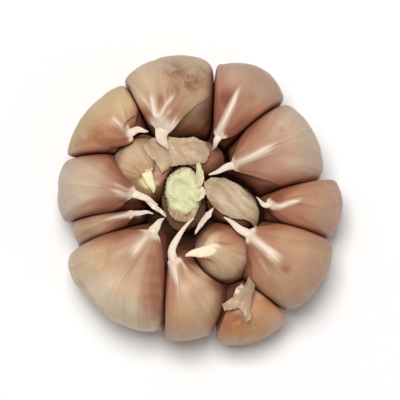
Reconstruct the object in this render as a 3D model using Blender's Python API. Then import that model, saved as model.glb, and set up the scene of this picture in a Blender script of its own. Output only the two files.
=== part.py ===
# A garlic bulb, stripped of its outer wrappers, resting on its root plate.
#
# Eleven outer cloves stand in a ring and four smaller ones fill the middle, round the cut
# stalk. Each clove is one closed body that ends in its own papery tail, and it is pressed
# flat where it meets its neighbours. Sizes are in millimetres and are turned into metres
# when a mesh is made. +Z is up, and the origin is the middle of the root plate's flat
# underside, below the point where the cloves meet.

import math
import random

import bmesh
import bpy
import numpy as np
from mathutils import Vector
from mathutils.bvhtree import BVHTree

MM = 0.001

# Driving dimensions
GAP = 0.34  # clear space left between two bodies that touch
EGG_GAP = 0.5  # the same round an inner clove, whose curve the outer cloves' flat faces cut
BODY_ROWS = 16  # rings of points from a clove's base to its tip
TAIL_ROWS = 5  # rings along the papery tail
RING_POINTS = 18  # points round a clove
CROWDING = 0.35  # how much closer together they stand at its back than at its inner side
FOOT_RADIUS = 5.6  # the flat spot that the bulb rests on
PLATE_UNDER = [(6.8, 0.6), (8.4, 1.5)]  # radius and height of points up the root plate
PLATE_TOP = [(9.7, 2.4), (8.6, 3.2), (5.8, 3.8), (2.4, 4.1)]
ROOT_COUNT = 26
ROOT_RADII = (7.0, 8.2)  # the two rings that the roots grow from
ROOT_HEIGHT = 1.9
SCRAP_OUTLINE = [(11.9, -17.4), (11.0, -19.4), (9.6, -21.0), (6.4, -22.9), (7.0, -24.2), (8.6, -23.9),
                 (9.9, -23.6), (10.8, -24.6), (11.4, -26.6), (12.4, -25.9), (12.2, -23.6),
                 (12.6, -21.4), (13.2, -19.2)]
SCRAP_RESTS_ON = ("clove_outer_05", "clove_outer_06", "clove_outer_07", "clove_inner_04")
SCRAP_CLEAR = 0.6  # space between the scrap and the clove below it
SCRAP_THICK = 0.7
SCRAP_CURL = 0.5
STALK_TOP = 30.4
STALK_FIBRES = 0.05  # share of its width that the fibres' ridges add
STALK_CENTRE = (-1.4, -0.5)
STALK_HALF = (3.8, 5.6)  # half widths of the stalk just below its cut top
STALK_SIDE = [(0.85, 4.6), (1.08, 10.0), (1.26, 17.0), (1.24, 22.5), (1.04, 26.0), (1.0, 29.2)]

# Shape of a clove
SQUARENESS = 0.96  # below 1, the side outline is fuller than an ellipse
HEEL_SQUARENESS = 0.5  # the same where an outer clove meets the root plate
FULLNESS = 0.66  # below 1, an outer clove stays broad for longer towards its two ends
ROUNDNESS = 0.94  # the same for a section across a clove
RIDGE = 0.6  # added to it towards an outer clove's tip, which makes the section a blunt roof
RIDGE_FROM = 0.5  # share of its length past which this begins
RIDGE_FULL = 0.9  # share at which it is all added
NARROWING = 0.3  # share of its width that an outer clove loses towards its tip
NARROW_FROM = 0.76  # share of its length past which it does
WEDGE = 0.12  # how much wider a clove is at its back than at its inner edge
BASE_ANGLE = math.radians(-133)  # where the base lies on the side outline
TIP_ANGLE = math.radians(127)  # where the tip lies on it
UPRIGHT = (math.radians(-90), math.radians(90))  # the same two for an inner clove
PULL_FROM = 0.74  # share of the clove's length past which the tip is drawn out, by pull
EDGE_SHARPNESS = 9.0  # how tightly a clove's edge turns into its pressed side
LONGEST_SCALE = 1.6  # how far outside its own surface a clove looks for a neighbour
SEAM_HEIGHT = 22.0  # above this height a seam lies where it is seen from above
HALVINGS = 18  # steps of the search for the pressed surface
FIRST_RING = 0.03  # where a clove's lowest ring lies, as a share of its length
TIP_TURNS_FROM = 0.8  # past this share the sections turn to face along the tail
TIP_TURNS_TO = 1.04  # share at which they would be fully turned
FLARED_ROWS = BODY_ROWS - 2  # rings that are wider at the back, by WEDGE
TAIL_TAPER = 0.55  # share of its width that a tail loses towards its end
TAIL_FLATNESS = 0.6  # a tail's thickness over its width
TAIL_THINNEST = 0.4  # its least half thickness and half width

# Each clove stands in an upright plane through the origin, at this azimuth from +X.
# reach is its furthest radius, crest the radius of its highest line, low and high the
# radii of its inner edge near the base and near the tip, and half its half width. lean
# carries the tip to its left, seen from the middle. tail holds the bend and the end of its
# papery tail, and tail_half the tail's half width.
OUTER = {
    "clove_outer_01": dict(azimuth=99, reach=29.9, crest=22.4, low=7.6, high=11.0, bottom=2.2,
                           belly=14.5, top=35.8, half=11.7, lean=2.6, pull=2.6,
                           tail=((-5.9, 11.6, 32.4), (-4.6, 8.6, 31.0)), tail_half=1.2),
    "clove_outer_02": dict(azimuth=62.5, reach=30.6, crest=22.4, low=7.6, high=9.8, bottom=2.4,
                           belly=15.5, top=34.2, half=9.9, pull=2.6,
                           tail=((5.6, 10.6, 32.2), (4.5, 8.6, 30.0)), tail_half=0.75),
    "clove_outer_03": dict(azimuth=27, reach=29.2, crest=21.6, low=7.6, high=8.2, bottom=2.2,
                           belly=15.0, top=35.4, half=11.3, pull=3.4,
                           tail=((7.4, 4.9, 31.6), (3.9, 3.2, 30.9)), tail_half=0.85),
    "clove_outer_04": dict(azimuth=-5, reach=31.9, crest=24.2, low=7.6, high=13.6, bottom=2.6,
                           belly=14.0, top=32.4, half=8.8, pull=2.4,
                           tail=((15.8, -2.8, 30.6), (13.4, -1.3, 30.4)), tail_half=0.75),
    "clove_outer_05": dict(azimuth=-35, reach=33.0, crest=24.8, low=7.6, high=12.8, bottom=2.2,
                           belly=15.0, top=34.8, half=11.3, pull=3.0,
                           tail=((10.4, -8.1, 33.4), (6.9, -5.4, 31.9)), tail_half=0.95),
    "clove_outer_06": dict(azimuth=-63, reach=33.4, crest=26.4, low=12.6, high=20.6, bottom=2.4,
                           belly=12.0, top=25.8, half=9.8, pull=1.2,
                           tail=((10.4, -19.4, 25.6), (10.6, -18.8, 26.0)), tail_half=0.9),
    "clove_outer_07": dict(azimuth=-93, reach=30.5, crest=22.6, low=7.6, high=12.4, bottom=2.2,
                           belly=15.0, top=33.8, half=9.6, lean=-1.8, pull=2.6,
                           tail=((-4.6, -11.2, 32.8), (0.8, -5.7, 31.2)), tail_half=0.85),
    "clove_outer_08": dict(azimuth=-128, reach=30.9, crest=23.0, low=7.6, high=9.0, bottom=2.1,
                           belly=15.5, top=36.2, half=13.8, pull=3.2,
                           tail=((-7.4, -8.0, 32.6), (-5.3, -5.6, 31.0)), tail_half=1.05),
    "clove_outer_09": dict(azimuth=-161.5, reach=26.4, crest=19.4, low=8.6, high=11.2, bottom=3.6,
                           belly=14.0, top=29.6, half=5.1, pull=2.2,
                           tail=((-9.6, -4.2, 29.4), (-7.6, -4.3, 28.6)), tail_half=0.7),
    "clove_outer_10": dict(azimuth=177, reach=28.3, crest=21.4, low=7.6, high=9.6, bottom=2.2,
                           belly=15.0, top=34.4, half=10.1, pull=3.0,
                           tail=((-9.0, -1.6, 32.0), (-6.6, -2.6, 30.6)), tail_half=0.8),
    "clove_outer_11": dict(azimuth=141, reach=28.3, crest=22.4, low=11.6, high=14.4, bottom=2.3,
                           belly=14.5, top=33.4, half=12.0, pull=1.8,
                           tail=((-10.6, 13.0, 32.0), (-8.6, 12.2, 31.6)), tail_half=0.85),
}

# Inner cloves stand round an upright axis of their own, at foot, and blunt is the squareness
# of their upper half. Outer cloves are pressed in by the egg that an inner clove fills.
INNER = {
    "clove_inner_01": dict(foot=(-9.4, 5.4), azimuth=150, reach=7.7, bottom=4.4, top=31.6, half=6.9,
                           blunt=0.72, pull=1.8, tail=((-8.0, 1.4, 31.8), (-7.4, -0.2, 30.8)),
                           tail_half=1.1),
    "clove_inner_02": dict(foot=(0.9, 7.5), azimuth=83, reach=4.5, bottom=4.4, top=30.0, half=6.8,
                           blunt=0.72, pull=0.8, tail=((-1.2, 6.6, 30.6), (-1.6, 6.0, 30.8)),
                           tail_half=0.9),
    "clove_inner_03": dict(foot=(8.7, -2.1), azimuth=-38, reach=6.9, bottom=5.0, top=31.0, half=5.0,
                           blunt=0.55, pull=1.0, tail=((5.6, 0.2, 31.4), (4.2, 1.2, 30.8)),
                           tail_half=0.9),
    "clove_inner_04": dict(foot=(7.2, -11.6), azimuth=-58, reach=6.7, bottom=5.0, top=32.6, half=6.6,
                           blunt=0.84, pull=3.4, tail=((1.8, -12.3, 32.8), (-0.9, -12.9, 32.2)),
                           tail_half=1.2),
}

# Seen from above, two neighbours meet along the line through these two points. The clove
# named first lies to the right of the way from the first point to the second. The last
# number is the azimuth of the line, from the plate's middle, along which they meet at the
# very bottom.
SEAMS = [
    ("clove_outer_02", "clove_outer_01", (4.6, 10.4), (5.0, 27.6), 80),
    ("clove_outer_03", "clove_outer_02", (7.4, 9.5), (19.4, 19.7), 46),
    ("clove_outer_04", "clove_outer_03", (15.3, -0.3), (28.7, 3.4), 8),
    ("clove_outer_05", "clove_outer_04", (14.3, -5.4), (29.2, -9.1), -18),
    ("clove_outer_06", "clove_outer_05", (12.5, -18.9), (20.8, -25.4), -53),
    ("clove_outer_07", "clove_outer_06", (8.3, -21.6), (4.6, -30.0), -79),
    ("clove_outer_07", "clove_outer_05", (4.0, -7.0), (10.3, -17.1), -66),
    ("clove_outer_08", "clove_outer_07", (-4.7, -13.3), (-5.4, -28.1), -105),
    ("clove_outer_09", "clove_outer_08", (-7.5, -4.9), (-22.8, -10.5), -154),
    ("clove_outer_10", "clove_outer_09", (-8.9, -3.1), (-25.1, -5.4), -168),
    ("clove_outer_11", "clove_outer_10", (-16.3, 8.1), (-24.2, 7.8), 159),
    ("clove_outer_01", "clove_outer_11", (-8.0, 12.2), (-13.5, 22.9), 121),
    ("clove_inner_02", "clove_inner_01", (-2.4, 3.0), (-5.6, 11.0), 118),
    ("clove_inner_03", "clove_inner_02", (2.4, 2.6), (9.0, 5.6), 35),
    ("clove_inner_04", "clove_inner_03", (2.0, -4.6), (14.0, -8.6), -38),
]

COLOURS = {
    "clove_skin": ((0.62, 0.43, 0.33), 0.45),
    "inner_skin": ((0.66, 0.50, 0.36), 0.55),
    "stalk": ((0.74, 0.72, 0.52), 0.75),
    "root_plate": ((0.52, 0.42, 0.30), 0.85),
    "papery_skin": ((0.80, 0.73, 0.64), 0.6),
}


def clear_scene():
    for obj in list(bpy.data.objects):
        bpy.data.objects.remove(obj, do_unlink=True)


def material(name):
    colour, roughness = COLOURS[name]
    made = bpy.data.materials.get(name)
    if made is None:
        made = bpy.data.materials.new(name)
        made.use_nodes = True
        shader = made.node_tree.nodes["Principled BSDF"]
        shader.inputs["Base Color"].default_value = (*colour, 1.0)
        shader.inputs["Roughness"].default_value = roughness
        shader.inputs["Metallic"].default_value = 0.0
    return made


def add_object(name, mesh, finish):
    obj = bpy.data.objects.new(name, mesh)
    obj.data.materials.append(material(finish))
    bpy.context.scene.collection.objects.link(obj)
    return obj


def signed_power(value, exponent):
    return np.sign(value) * np.abs(value) ** exponent


def ease(value):
    """0 to 1 with level ends."""
    value = np.clip(value, 0.0, 1.0)
    return value * value * (3 - 2 * value)


def side_outline(clove, angle):
    """Radius and height of a clove's side outline, at an angle about the point under its crest."""
    across, up = np.cos(angle), np.sin(angle)
    if "foot" in clove:
        middle = (clove["top"] + clove["bottom"]) / 2
        tall = (clove["top"] - clove["bottom"]) / 2
        squareness = np.where(up > 0, clove["blunt"], SQUARENESS)
        radius = clove["reach"] * signed_power(across, squareness)
        return radius, middle + tall * signed_power(up, squareness)
    inner = clove["low"] + (clove["high"] - clove["low"]) * (1 + up) / 2
    width = np.where(across > 0, clove["reach"] - clove["crest"], clove["crest"] - inner)
    height = np.where(up > 0, clove["top"] - clove["belly"], clove["belly"] - clove["bottom"])
    squareness = np.where((across < 0) & (up < 0), HEEL_SQUARENESS, SQUARENESS)
    radius = clove["crest"] + width * signed_power(across, squareness)
    return radius, clove["belly"] + height * signed_power(up, squareness)


def curve_point(first, bend, last, share):
    """A point on the curve that leaves first towards bend and arrives at last."""
    share = share[:, None]
    return first * (1 - share) ** 2 + bend * 2 * share * (1 - share) + last * share**2


def unit(vectors):
    return vectors / np.linalg.norm(vectors, axis=-1, keepdims=True)


def body_sections(clove, outward, sideways):
    """Section centres and half axes from a clove's base to its tip, before it is pressed."""
    along = np.linspace(FIRST_RING, 1.0, BODY_ROWS)
    base_angle, tip_angle = UPRIGHT if "foot" in clove else (BASE_ANGLE, TIP_ANGLE)
    back = base_angle + along * (tip_angle - base_angle)
    front = base_angle - along * (2 * math.pi - tip_angle + base_angle)
    back_radius, back_height = side_outline(clove, back)
    front_radius, front_height = side_outline(clove, front)
    centre = np.outer((back_radius + front_radius) / 2, outward)
    centre += np.outer(clove.get("lean", 0.0) * along**2, sideways)
    centre[:, :2] += clove.get("foot", (0.0, 0.0))
    centre[:, 2] += (back_height + front_height) / 2
    depth = np.outer((back_radius - front_radius) / 2, outward)
    depth[:, 2] += (back_height - front_height) / 2
    power = np.where(along > 0.5, clove["blunt"], SQUARENESS) if "foot" in clove else FULLNESS
    narrow = 0.0 if "foot" in clove else NARROWING * ease((along - NARROW_FROM) / (1 - NARROW_FROM))
    width = np.outer(clove["half"] * (1 - narrow) * np.sin(math.pi * along) ** power, sideways)

    bend = np.array(clove["tail"][0])
    drawn = ease((along - PULL_FROM) / (1 - PULL_FROM)) ** 1.5
    centre += np.outer(drawn * clove["pull"], unit(bend - centre[-1]))
    return along, centre, depth, width


def tail_sections(clove, tip, sideways):
    """Section centres and unit axes along the papery tail, and the tail's shrinking half width."""
    bend, end = np.array(clove["tail"])
    share = np.linspace(0, 1, TAIL_ROWS + 1)[1:]
    centre = curve_point(tip, bend, end, share)
    ahead = unit(np.gradient(np.vstack([tip, centre]), axis=0)[1:])
    across = unit(np.cross(ahead, (0.0, 0.0, 1.0)))
    across *= np.sign(across @ sideways)[:, None]
    above = np.cross(ahead, across)
    above *= np.sign(above[:, 2])[:, None]
    thin = clove["tail_half"] * (1 - TAIL_TAPER * share)[:, None]
    return centre, above, across, np.maximum(thin, TAIL_THINNEST)


def spine_of(clove):
    """Section centres, and the two half axes of each section, from the base to the tail's end."""
    turn = math.radians(clove["azimuth"])
    outward = np.array([math.cos(turn), math.sin(turn), 0.0])
    sideways = np.array([-math.sin(turn), math.cos(turn), 0.0])
    along, centre, depth, width = body_sections(clove, outward, sideways)
    tail, above, across, thin = tail_sections(clove, centre[-1], sideways)

    lift = np.linalg.norm(depth, axis=1)[:, None]
    spread = np.linalg.norm(width, axis=1)[:, None]
    facing = unit(depth[:-1])
    facing = np.vstack([facing, facing[-1:]])
    turned = ease((along - TIP_TURNS_FROM) / (TIP_TURNS_TO - TIP_TURNS_FROM))[:, None]
    facing = above[0] * turned + facing * (1 - turned)
    depth = facing * np.hypot(lift, TAIL_FLATNESS * clove["tail_half"])
    width = sideways * np.hypot(spread, clove["tail_half"])
    centre = np.vstack([centre, tail])
    depth = np.vstack([depth, above * np.maximum(TAIL_FLATNESS * thin, TAIL_THINNEST)])
    width = np.vstack([width, across * thin])
    return centre, depth, width


def right_of_seam(points, start, end, bottom):
    """How far points lie to the right of a seam, which starts at the bottom as a radial line."""
    x, y = points[..., 0], points[..., 1]
    risen = ease(points[..., 2] / SEAM_HEIGHT)
    bottom = math.radians(bottom)
    reach = math.hypot(*end)
    x0, y0 = start[0] * risen, start[1] * risen
    x1 = reach * math.cos(bottom) * (1 - risen) + end[0] * risen
    y1 = reach * math.sin(bottom) * (1 - risen) + end[1] * risen
    return ((y1 - y0) * (x - x0) - (x1 - x0) * (y - y0)) / np.hypot(x1 - x0, y1 - y0)


def outside_egg(points, inner):
    """How far points lie outside an inner clove's body, measured along its smallest half size."""
    turn = math.radians(inner["azimuth"])
    x = points[..., 0] - inner["foot"][0]
    y = points[..., 1] - inner["foot"][1]
    z = points[..., 2] - (inner["top"] + inner["bottom"]) / 2
    across = np.abs(x * math.cos(turn) + y * math.sin(turn)) / inner["reach"]
    along = np.abs(y * math.cos(turn) - x * math.sin(turn)) / inner["half"]
    up = np.abs(z) / ((inner["top"] - inner["bottom"]) / 2)
    ring, side = 2 / ROUNDNESS, 2 / np.where(z > 0, inner["blunt"], SQUARENESS)
    size = ((across**ring + along**ring) ** (side / ring) + up**side) ** (1 / side)
    return (size - 1) * min(inner["reach"], inner["half"])


def outside_stalk(points):
    """How far points lie outside the upright stalk, at their own height."""
    shares, heights = zip(*STALK_SIDE)
    grown = np.interp(points[..., 2], heights, shares) + STALK_FIBRES
    x = (points[..., 0] - STALK_CENTRE[0]) / (STALK_HALF[0] * grown)
    y = (points[..., 1] - STALK_CENTRE[1]) / (STALK_HALF[1] * grown)
    return (np.hypot(x, y) - 1) * STALK_HALF[0] * grown


def outside_plate(points):
    """How far points lie outside the root plate, beside it or above it."""
    radii, heights = zip(*reversed(PLATE_TOP))
    radius = np.hypot(points[..., 0], points[..., 1])
    above = points[..., 2] - np.interp(radius, radii, heights)
    return np.maximum(radius - PLATE_TOP[0][0], above)


def room_round(name, points):
    """The least distance that points keep from everything that presses on a clove."""
    limits = [outside_plate(points) - GAP, outside_stalk(points) - GAP]
    for right, left, *line in SEAMS:
        if name == right:
            limits.append(right_of_seam(points, *line) - GAP / 2)
        elif name == left:
            limits.append(-right_of_seam(points, *line) - GAP / 2)
    if name in OUTER:
        limits += [outside_egg(points, inner) - EGG_GAP for inner in INNER.values()]
    return np.min(limits, axis=0)


def pressed_scale(name, centre, spokes):
    """How much of each spoke is left once the clove is pressed against its neighbours."""
    short = np.zeros(spokes.shape[:2])
    long = np.full(spokes.shape[:2], LONGEST_SCALE)
    for _ in range(HALVINGS):
        middle = (short + long) / 2
        free = room_round(name, centre[:, None] + spokes * middle[..., None]) > 0
        short = np.where(free, middle, short)
        long = np.where(free, long, middle)
    return -np.log(np.exp(-EDGE_SHARPNESS) + np.exp(-EDGE_SHARPNESS * short)) / EDGE_SHARPNESS


def clove_rings(name, clove):
    """Rings of points from a clove's base to the end of its tail."""
    centre, depth, width = spine_of(clove)
    turn = np.linspace(0, 2 * math.pi, RING_POINTS, endpoint=False)
    turn = turn - CROWDING * np.sin(turn)
    body = slice(0, BODY_ROWS)
    power = np.full((len(centre), 1), ROUNDNESS)
    along = np.linspace(FIRST_RING, 1.0, BODY_ROWS)
    if "foot" not in clove:
        power[body, 0] += RIDGE * ease((along - RIDGE_FROM) / (RIDGE_FULL - RIDGE_FROM))
    out = signed_power(np.cos(turn), power)
    side = signed_power(np.sin(turn), power)
    if "foot" not in clove:
        side[:FLARED_ROWS] *= 1 + WEDGE * np.cos(turn)
    spokes = depth[:, None] * out[..., None] + width[:, None] * side[..., None]
    spokes[body] *= pressed_scale(name, centre[body], spokes[body])[..., None]
    return centre[:, None] + spokes


def clove_mesh(name, clove):
    rings = clove_rings(name, clove)
    points = np.vstack([rings.reshape(-1, 3), rings[0].mean(axis=0), rings[-1].mean(axis=0)]) * MM
    base, tail_end = len(points) - 2, len(points) - 1
    top = base - RING_POINTS
    faces = []
    for column in range(RING_POINTS):
        beside = (column + 1) % RING_POINTS
        faces.append((beside, column, base))
        faces.append((top + column, top + beside, tail_end))
        for row in range(0, top, RING_POINTS):
            low, high = row, row + RING_POINTS
            faces.append((low + column, low + beside, high + beside, high + column))
    mesh = bpy.data.meshes.new(name)
    mesh.from_pydata(points.tolist(), [], faces)
    shape = bmesh.new()
    shape.from_mesh(mesh)
    bmesh.ops.recalc_face_normals(shape, faces=shape.faces)
    shape.to_mesh(mesh)
    shape.free()
    mesh.shade_smooth()
    return mesh


def turned_mesh(name, profile, sides, stretch=(1.0, 1.0), centre=(0.0, 0.0), ripple=None):
    """A closed shape turned about Z from (radius, height) points that start and end on the axis."""
    shape = bmesh.new()
    rings = []
    for radius, height in profile:
        if radius == 0:
            rings.append([shape.verts.new((centre[0] * MM, centre[1] * MM, height * MM))])
            continue
        ring = []
        for k in range(sides):
            turn = 2 * math.pi * k / sides
            grown = radius * (1 + (ripple(turn, height) if ripple else 0.0))
            x = centre[0] + grown * stretch[0] * math.cos(turn)
            y = centre[1] + grown * stretch[1] * math.sin(turn)
            ring.append(shape.verts.new((x * MM, y * MM, height * MM)))
        rings.append(ring)
    for low, high in zip(rings, rings[1:]):
        for k in range(sides):
            after = (k + 1) % sides
            corners = [low[k % len(low)], low[after % len(low)],
                       high[after % len(high)], high[k % len(high)]]
            shape.faces.new(list(dict.fromkeys(corners)))
    bmesh.ops.recalc_face_normals(shape, faces=shape.faces)
    mesh = bpy.data.meshes.new(name)
    shape.to_mesh(mesh)
    shape.free()
    return mesh


def stalk():
    """The cut stalk in its sheath, with a dished and fibrous top."""
    def fibres(turn, height):
        waves = 0.6 * math.sin(5 * turn + 0.25 * height) + 0.4 * math.sin(3 * turn - 0.2 * height)
        return STALK_FIBRES * waves

    low = STALK_SIDE[0][1]
    top = [(0.78, STALK_TOP), (0.4, STALK_TOP - 0.5), (0, STALK_TOP - 0.8)]
    profile = [(0, low), *STALK_SIDE, *top]
    mesh = turned_mesh("stalk", profile, 20, STALK_HALF, STALK_CENTRE, fibres)
    return add_object("stalk", mesh, "stalk")


def ground_height(shells, x, y):
    """The highest point of the cloves at and just round a place, so that a scrap bridges grooves."""
    highest = 0.0
    for dx, dy in ((0, 0), (0.8, 0), (-0.8, 0), (0, 0.8), (0, -0.8)):
        above = Vector(((x + dx) * MM, (y + dy) * MM, 1.0))
        for shell in shells:
            hit = shell.ray_cast(above, Vector((0, 0, -1)))[0]
            highest = max(highest, hit.z / MM if hit else 0.0)
    return highest


def skin_scrap(cloves):
    """The torn scrap of skin at a small clove's tip, laid on the cloves below it."""
    outline = np.array(SCRAP_OUTLINE)
    middle = outline.mean(axis=0)
    graph = bpy.context.evaluated_depsgraph_get()
    shells = [BVHTree.FromObject(obj, graph) for obj in cloves]
    shape = bmesh.new()
    sheets = []
    for lift in (SCRAP_CLEAR, SCRAP_CLEAR + SCRAP_THICK):
        rings = []
        for share in (1.0, 0.67, 0.34):
            ring = []
            for x, y in middle + (outline - middle) * share:
                height = ground_height(shells, x, y) + lift + SCRAP_CURL * share**3
                ring.append(shape.verts.new((x * MM, y * MM, height * MM)))
            rings.append(ring)
        height = ground_height(shells, *middle) + lift
        rings.append([shape.verts.new((*(middle * MM), height * MM))] * len(outline))
        sheets.append(rings)
    loops = [*reversed(sheets[0]), *sheets[1]]
    for low, high in zip(loops, loops[1:]):
        for k in range(len(outline)):
            corners = [low[k - 1], low[k], high[k], high[k - 1]]
            shape.faces.new(list(dict.fromkeys(corners)))
    bmesh.ops.recalc_face_normals(shape, faces=shape.faces)
    mesh = bpy.data.meshes.new("skin_scrap")
    shape.to_mesh(mesh)
    shape.free()
    return add_object("skin_scrap", mesh, "papery_skin")


def root_plate():
    """The old corky plate: a flat foot, a rim that the roots grow from, and a low dome."""
    profile = [(0, 0), (FOOT_RADIUS, 0), *PLATE_UNDER, *PLATE_TOP, (0, PLATE_TOP[-1][1])]
    plate = add_object("root_plate", turned_mesh("root_plate", profile, 30), "root_plate")
    roots = bpy.data.collections.new("roots")
    bpy.context.scene.collection.children.link(roots)
    chance = random.Random(7)
    for k in range(ROOT_COUNT):
        turn = 2 * math.pi * (k + 0.35 * chance.uniform(-1, 1)) / ROOT_COUNT
        radius = ROOT_RADII[k % 2]
        tip_radius = radius + chance.uniform(0.6, 1.5)
        tip_height = chance.uniform(0.35, 0.6)
        start = np.array([radius * math.cos(turn), radius * math.sin(turn), ROOT_HEIGHT])
        end = np.array([tip_radius * math.cos(turn), tip_radius * math.sin(turn), tip_height])
        roots.objects.link(root_stub(k, start, end, chance.uniform(0.42, 0.55)))
    join_to(plate, roots)
    return plate


def root_stub(index, start, end, radius):
    """A five-sided trimmed root, sunk at its start end."""
    shape = bmesh.new()
    length = np.linalg.norm(end - start)
    bmesh.ops.create_cone(shape, cap_ends=True, segments=5, radius1=radius * MM,
                          radius2=0.7 * radius * MM, depth=length * MM)
    mesh = bpy.data.meshes.new(f"root_{index:02d}")
    shape.to_mesh(mesh)
    shape.free()
    obj = bpy.data.objects.new(mesh.name, mesh)
    way = (end - start) / length
    obj.rotation_euler = (math.acos(way[2]), 0.0, math.atan2(way[1], way[0]) + math.pi / 2)
    obj.location = (start + end) / 2 * MM
    return obj


def join_to(base, pieces):
    """Joins every object of a collection to base, and removes them."""
    union = base.modifiers.new("join", "BOOLEAN")
    union.operation = "UNION"
    union.operand_type = "COLLECTION"
    union.collection = pieces
    union.solver = "EXACT"
    bpy.context.view_layer.update()
    seen = base.evaluated_get(bpy.context.evaluated_depsgraph_get())
    joined = bpy.data.meshes.new_from_object(seen)
    base.modifiers.clear()
    base.data = joined
    for obj in list(pieces.objects):
        bpy.data.objects.remove(obj, do_unlink=True)
    bpy.data.collections.remove(pieces)


def main():
    clear_scene()
    for name, clove in {**OUTER, **INNER}.items():
        finish = "clove_skin" if name in OUTER else "inner_skin"
        add_object(name, clove_mesh(name, clove), finish)
    bpy.context.view_layer.update()
    skin_scrap([bpy.data.objects[name] for name in SCRAP_RESTS_ON])
    stalk()
    root_plate()


main()
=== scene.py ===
import math

import bpy
import numpy as np
from mathutils import Matrix, Vector


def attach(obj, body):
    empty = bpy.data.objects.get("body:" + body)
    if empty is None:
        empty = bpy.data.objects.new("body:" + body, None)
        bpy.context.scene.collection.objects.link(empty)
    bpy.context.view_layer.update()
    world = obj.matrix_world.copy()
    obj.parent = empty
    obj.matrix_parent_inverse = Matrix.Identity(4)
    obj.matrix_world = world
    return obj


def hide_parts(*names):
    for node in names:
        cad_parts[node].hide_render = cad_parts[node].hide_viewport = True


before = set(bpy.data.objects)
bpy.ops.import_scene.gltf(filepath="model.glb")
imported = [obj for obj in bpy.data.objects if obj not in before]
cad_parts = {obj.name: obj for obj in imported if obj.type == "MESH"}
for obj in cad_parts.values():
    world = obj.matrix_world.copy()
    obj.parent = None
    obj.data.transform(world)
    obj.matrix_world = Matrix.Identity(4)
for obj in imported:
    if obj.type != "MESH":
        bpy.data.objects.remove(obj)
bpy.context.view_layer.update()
scene = bpy.context.scene
print("garlic: frame loaded")

mm = 0.001
up = np.array([0.0, 0.0, 1.0])
detail = 1.0  # share of the full number of rows and columns


# Forms. All lengths below are millimetres, and a mesh is turned into metres when it is made.

def ease(value):
    # 0 to 1 with level ends: 3v^2 - 2v^3
    value = np.clip(value, 0.0, 1.0)
    return value * value * (3 - 2 * value)


def easeBetween(value, start, end=1.0):
    return ease((value - start) / (end - start))


def signedPower(value, power):
    # |value|^power with value's own sign, which squares up or sharpens a circle
    return np.sign(value) * np.abs(value) ** power


def unit(vectors):
    return vectors / np.maximum(np.linalg.norm(vectors, axis=-1, keepdims=True), 1e-9)


def around(count):
    # angles round a ring, which starts at its back
    return np.linspace(-math.pi, math.pi, count, endpoint=False)


def spot(plan, x, y, radius):
    # 1 at a plan point and fading round it: exp(-(distance / radius)^2)
    return np.exp(-((plan - (x, y)) ** 2).sum(axis=-1) / radius**2)


def resampled(profile, rows, stretch=1.0):
    # a side profile's radii and heights at even steps along it, with the radii stretched first
    reach = np.concatenate([[0], np.cumsum(np.hypot(*np.diff(profile * (stretch, 1), axis=0).T))])
    where = np.linspace(0, reach[-1], int(rows * detail))
    return np.interp(where, reach, profile[:, 0]), np.interp(where, reach, profile[:, 1])


def frames(curve, axis=0):
    # level direction across a curve, and the one square to both, at each of its points
    ahead = unit(np.gradient(curve, axis=axis))
    across = unit(np.cross(ahead, up))
    return across, np.cross(across, ahead)


def lumps(points, seed, size):
    # smooth noise: the mean of a few sine waves in random directions, about size long each
    draw, count = np.random.default_rng(seed), 7
    ways = unit(draw.normal(size=(count, 3))) * draw.uniform(0.7, 1.5, (count, 1)) * 2 * math.pi / size
    return np.sin(points @ ways.T + draw.uniform(0, 2 * math.pi, count)).mean(axis=-1) * 1.6


def gridNormals(grid):
    # cross product of the steps along the rows and round the columns, which wrap
    alongStep = np.gradient(grid, axis=0)
    roundStep = np.roll(grid, -1, axis=1) - np.roll(grid, 1, axis=1)
    return unit(np.cross(roundStep, alongStep))


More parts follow.
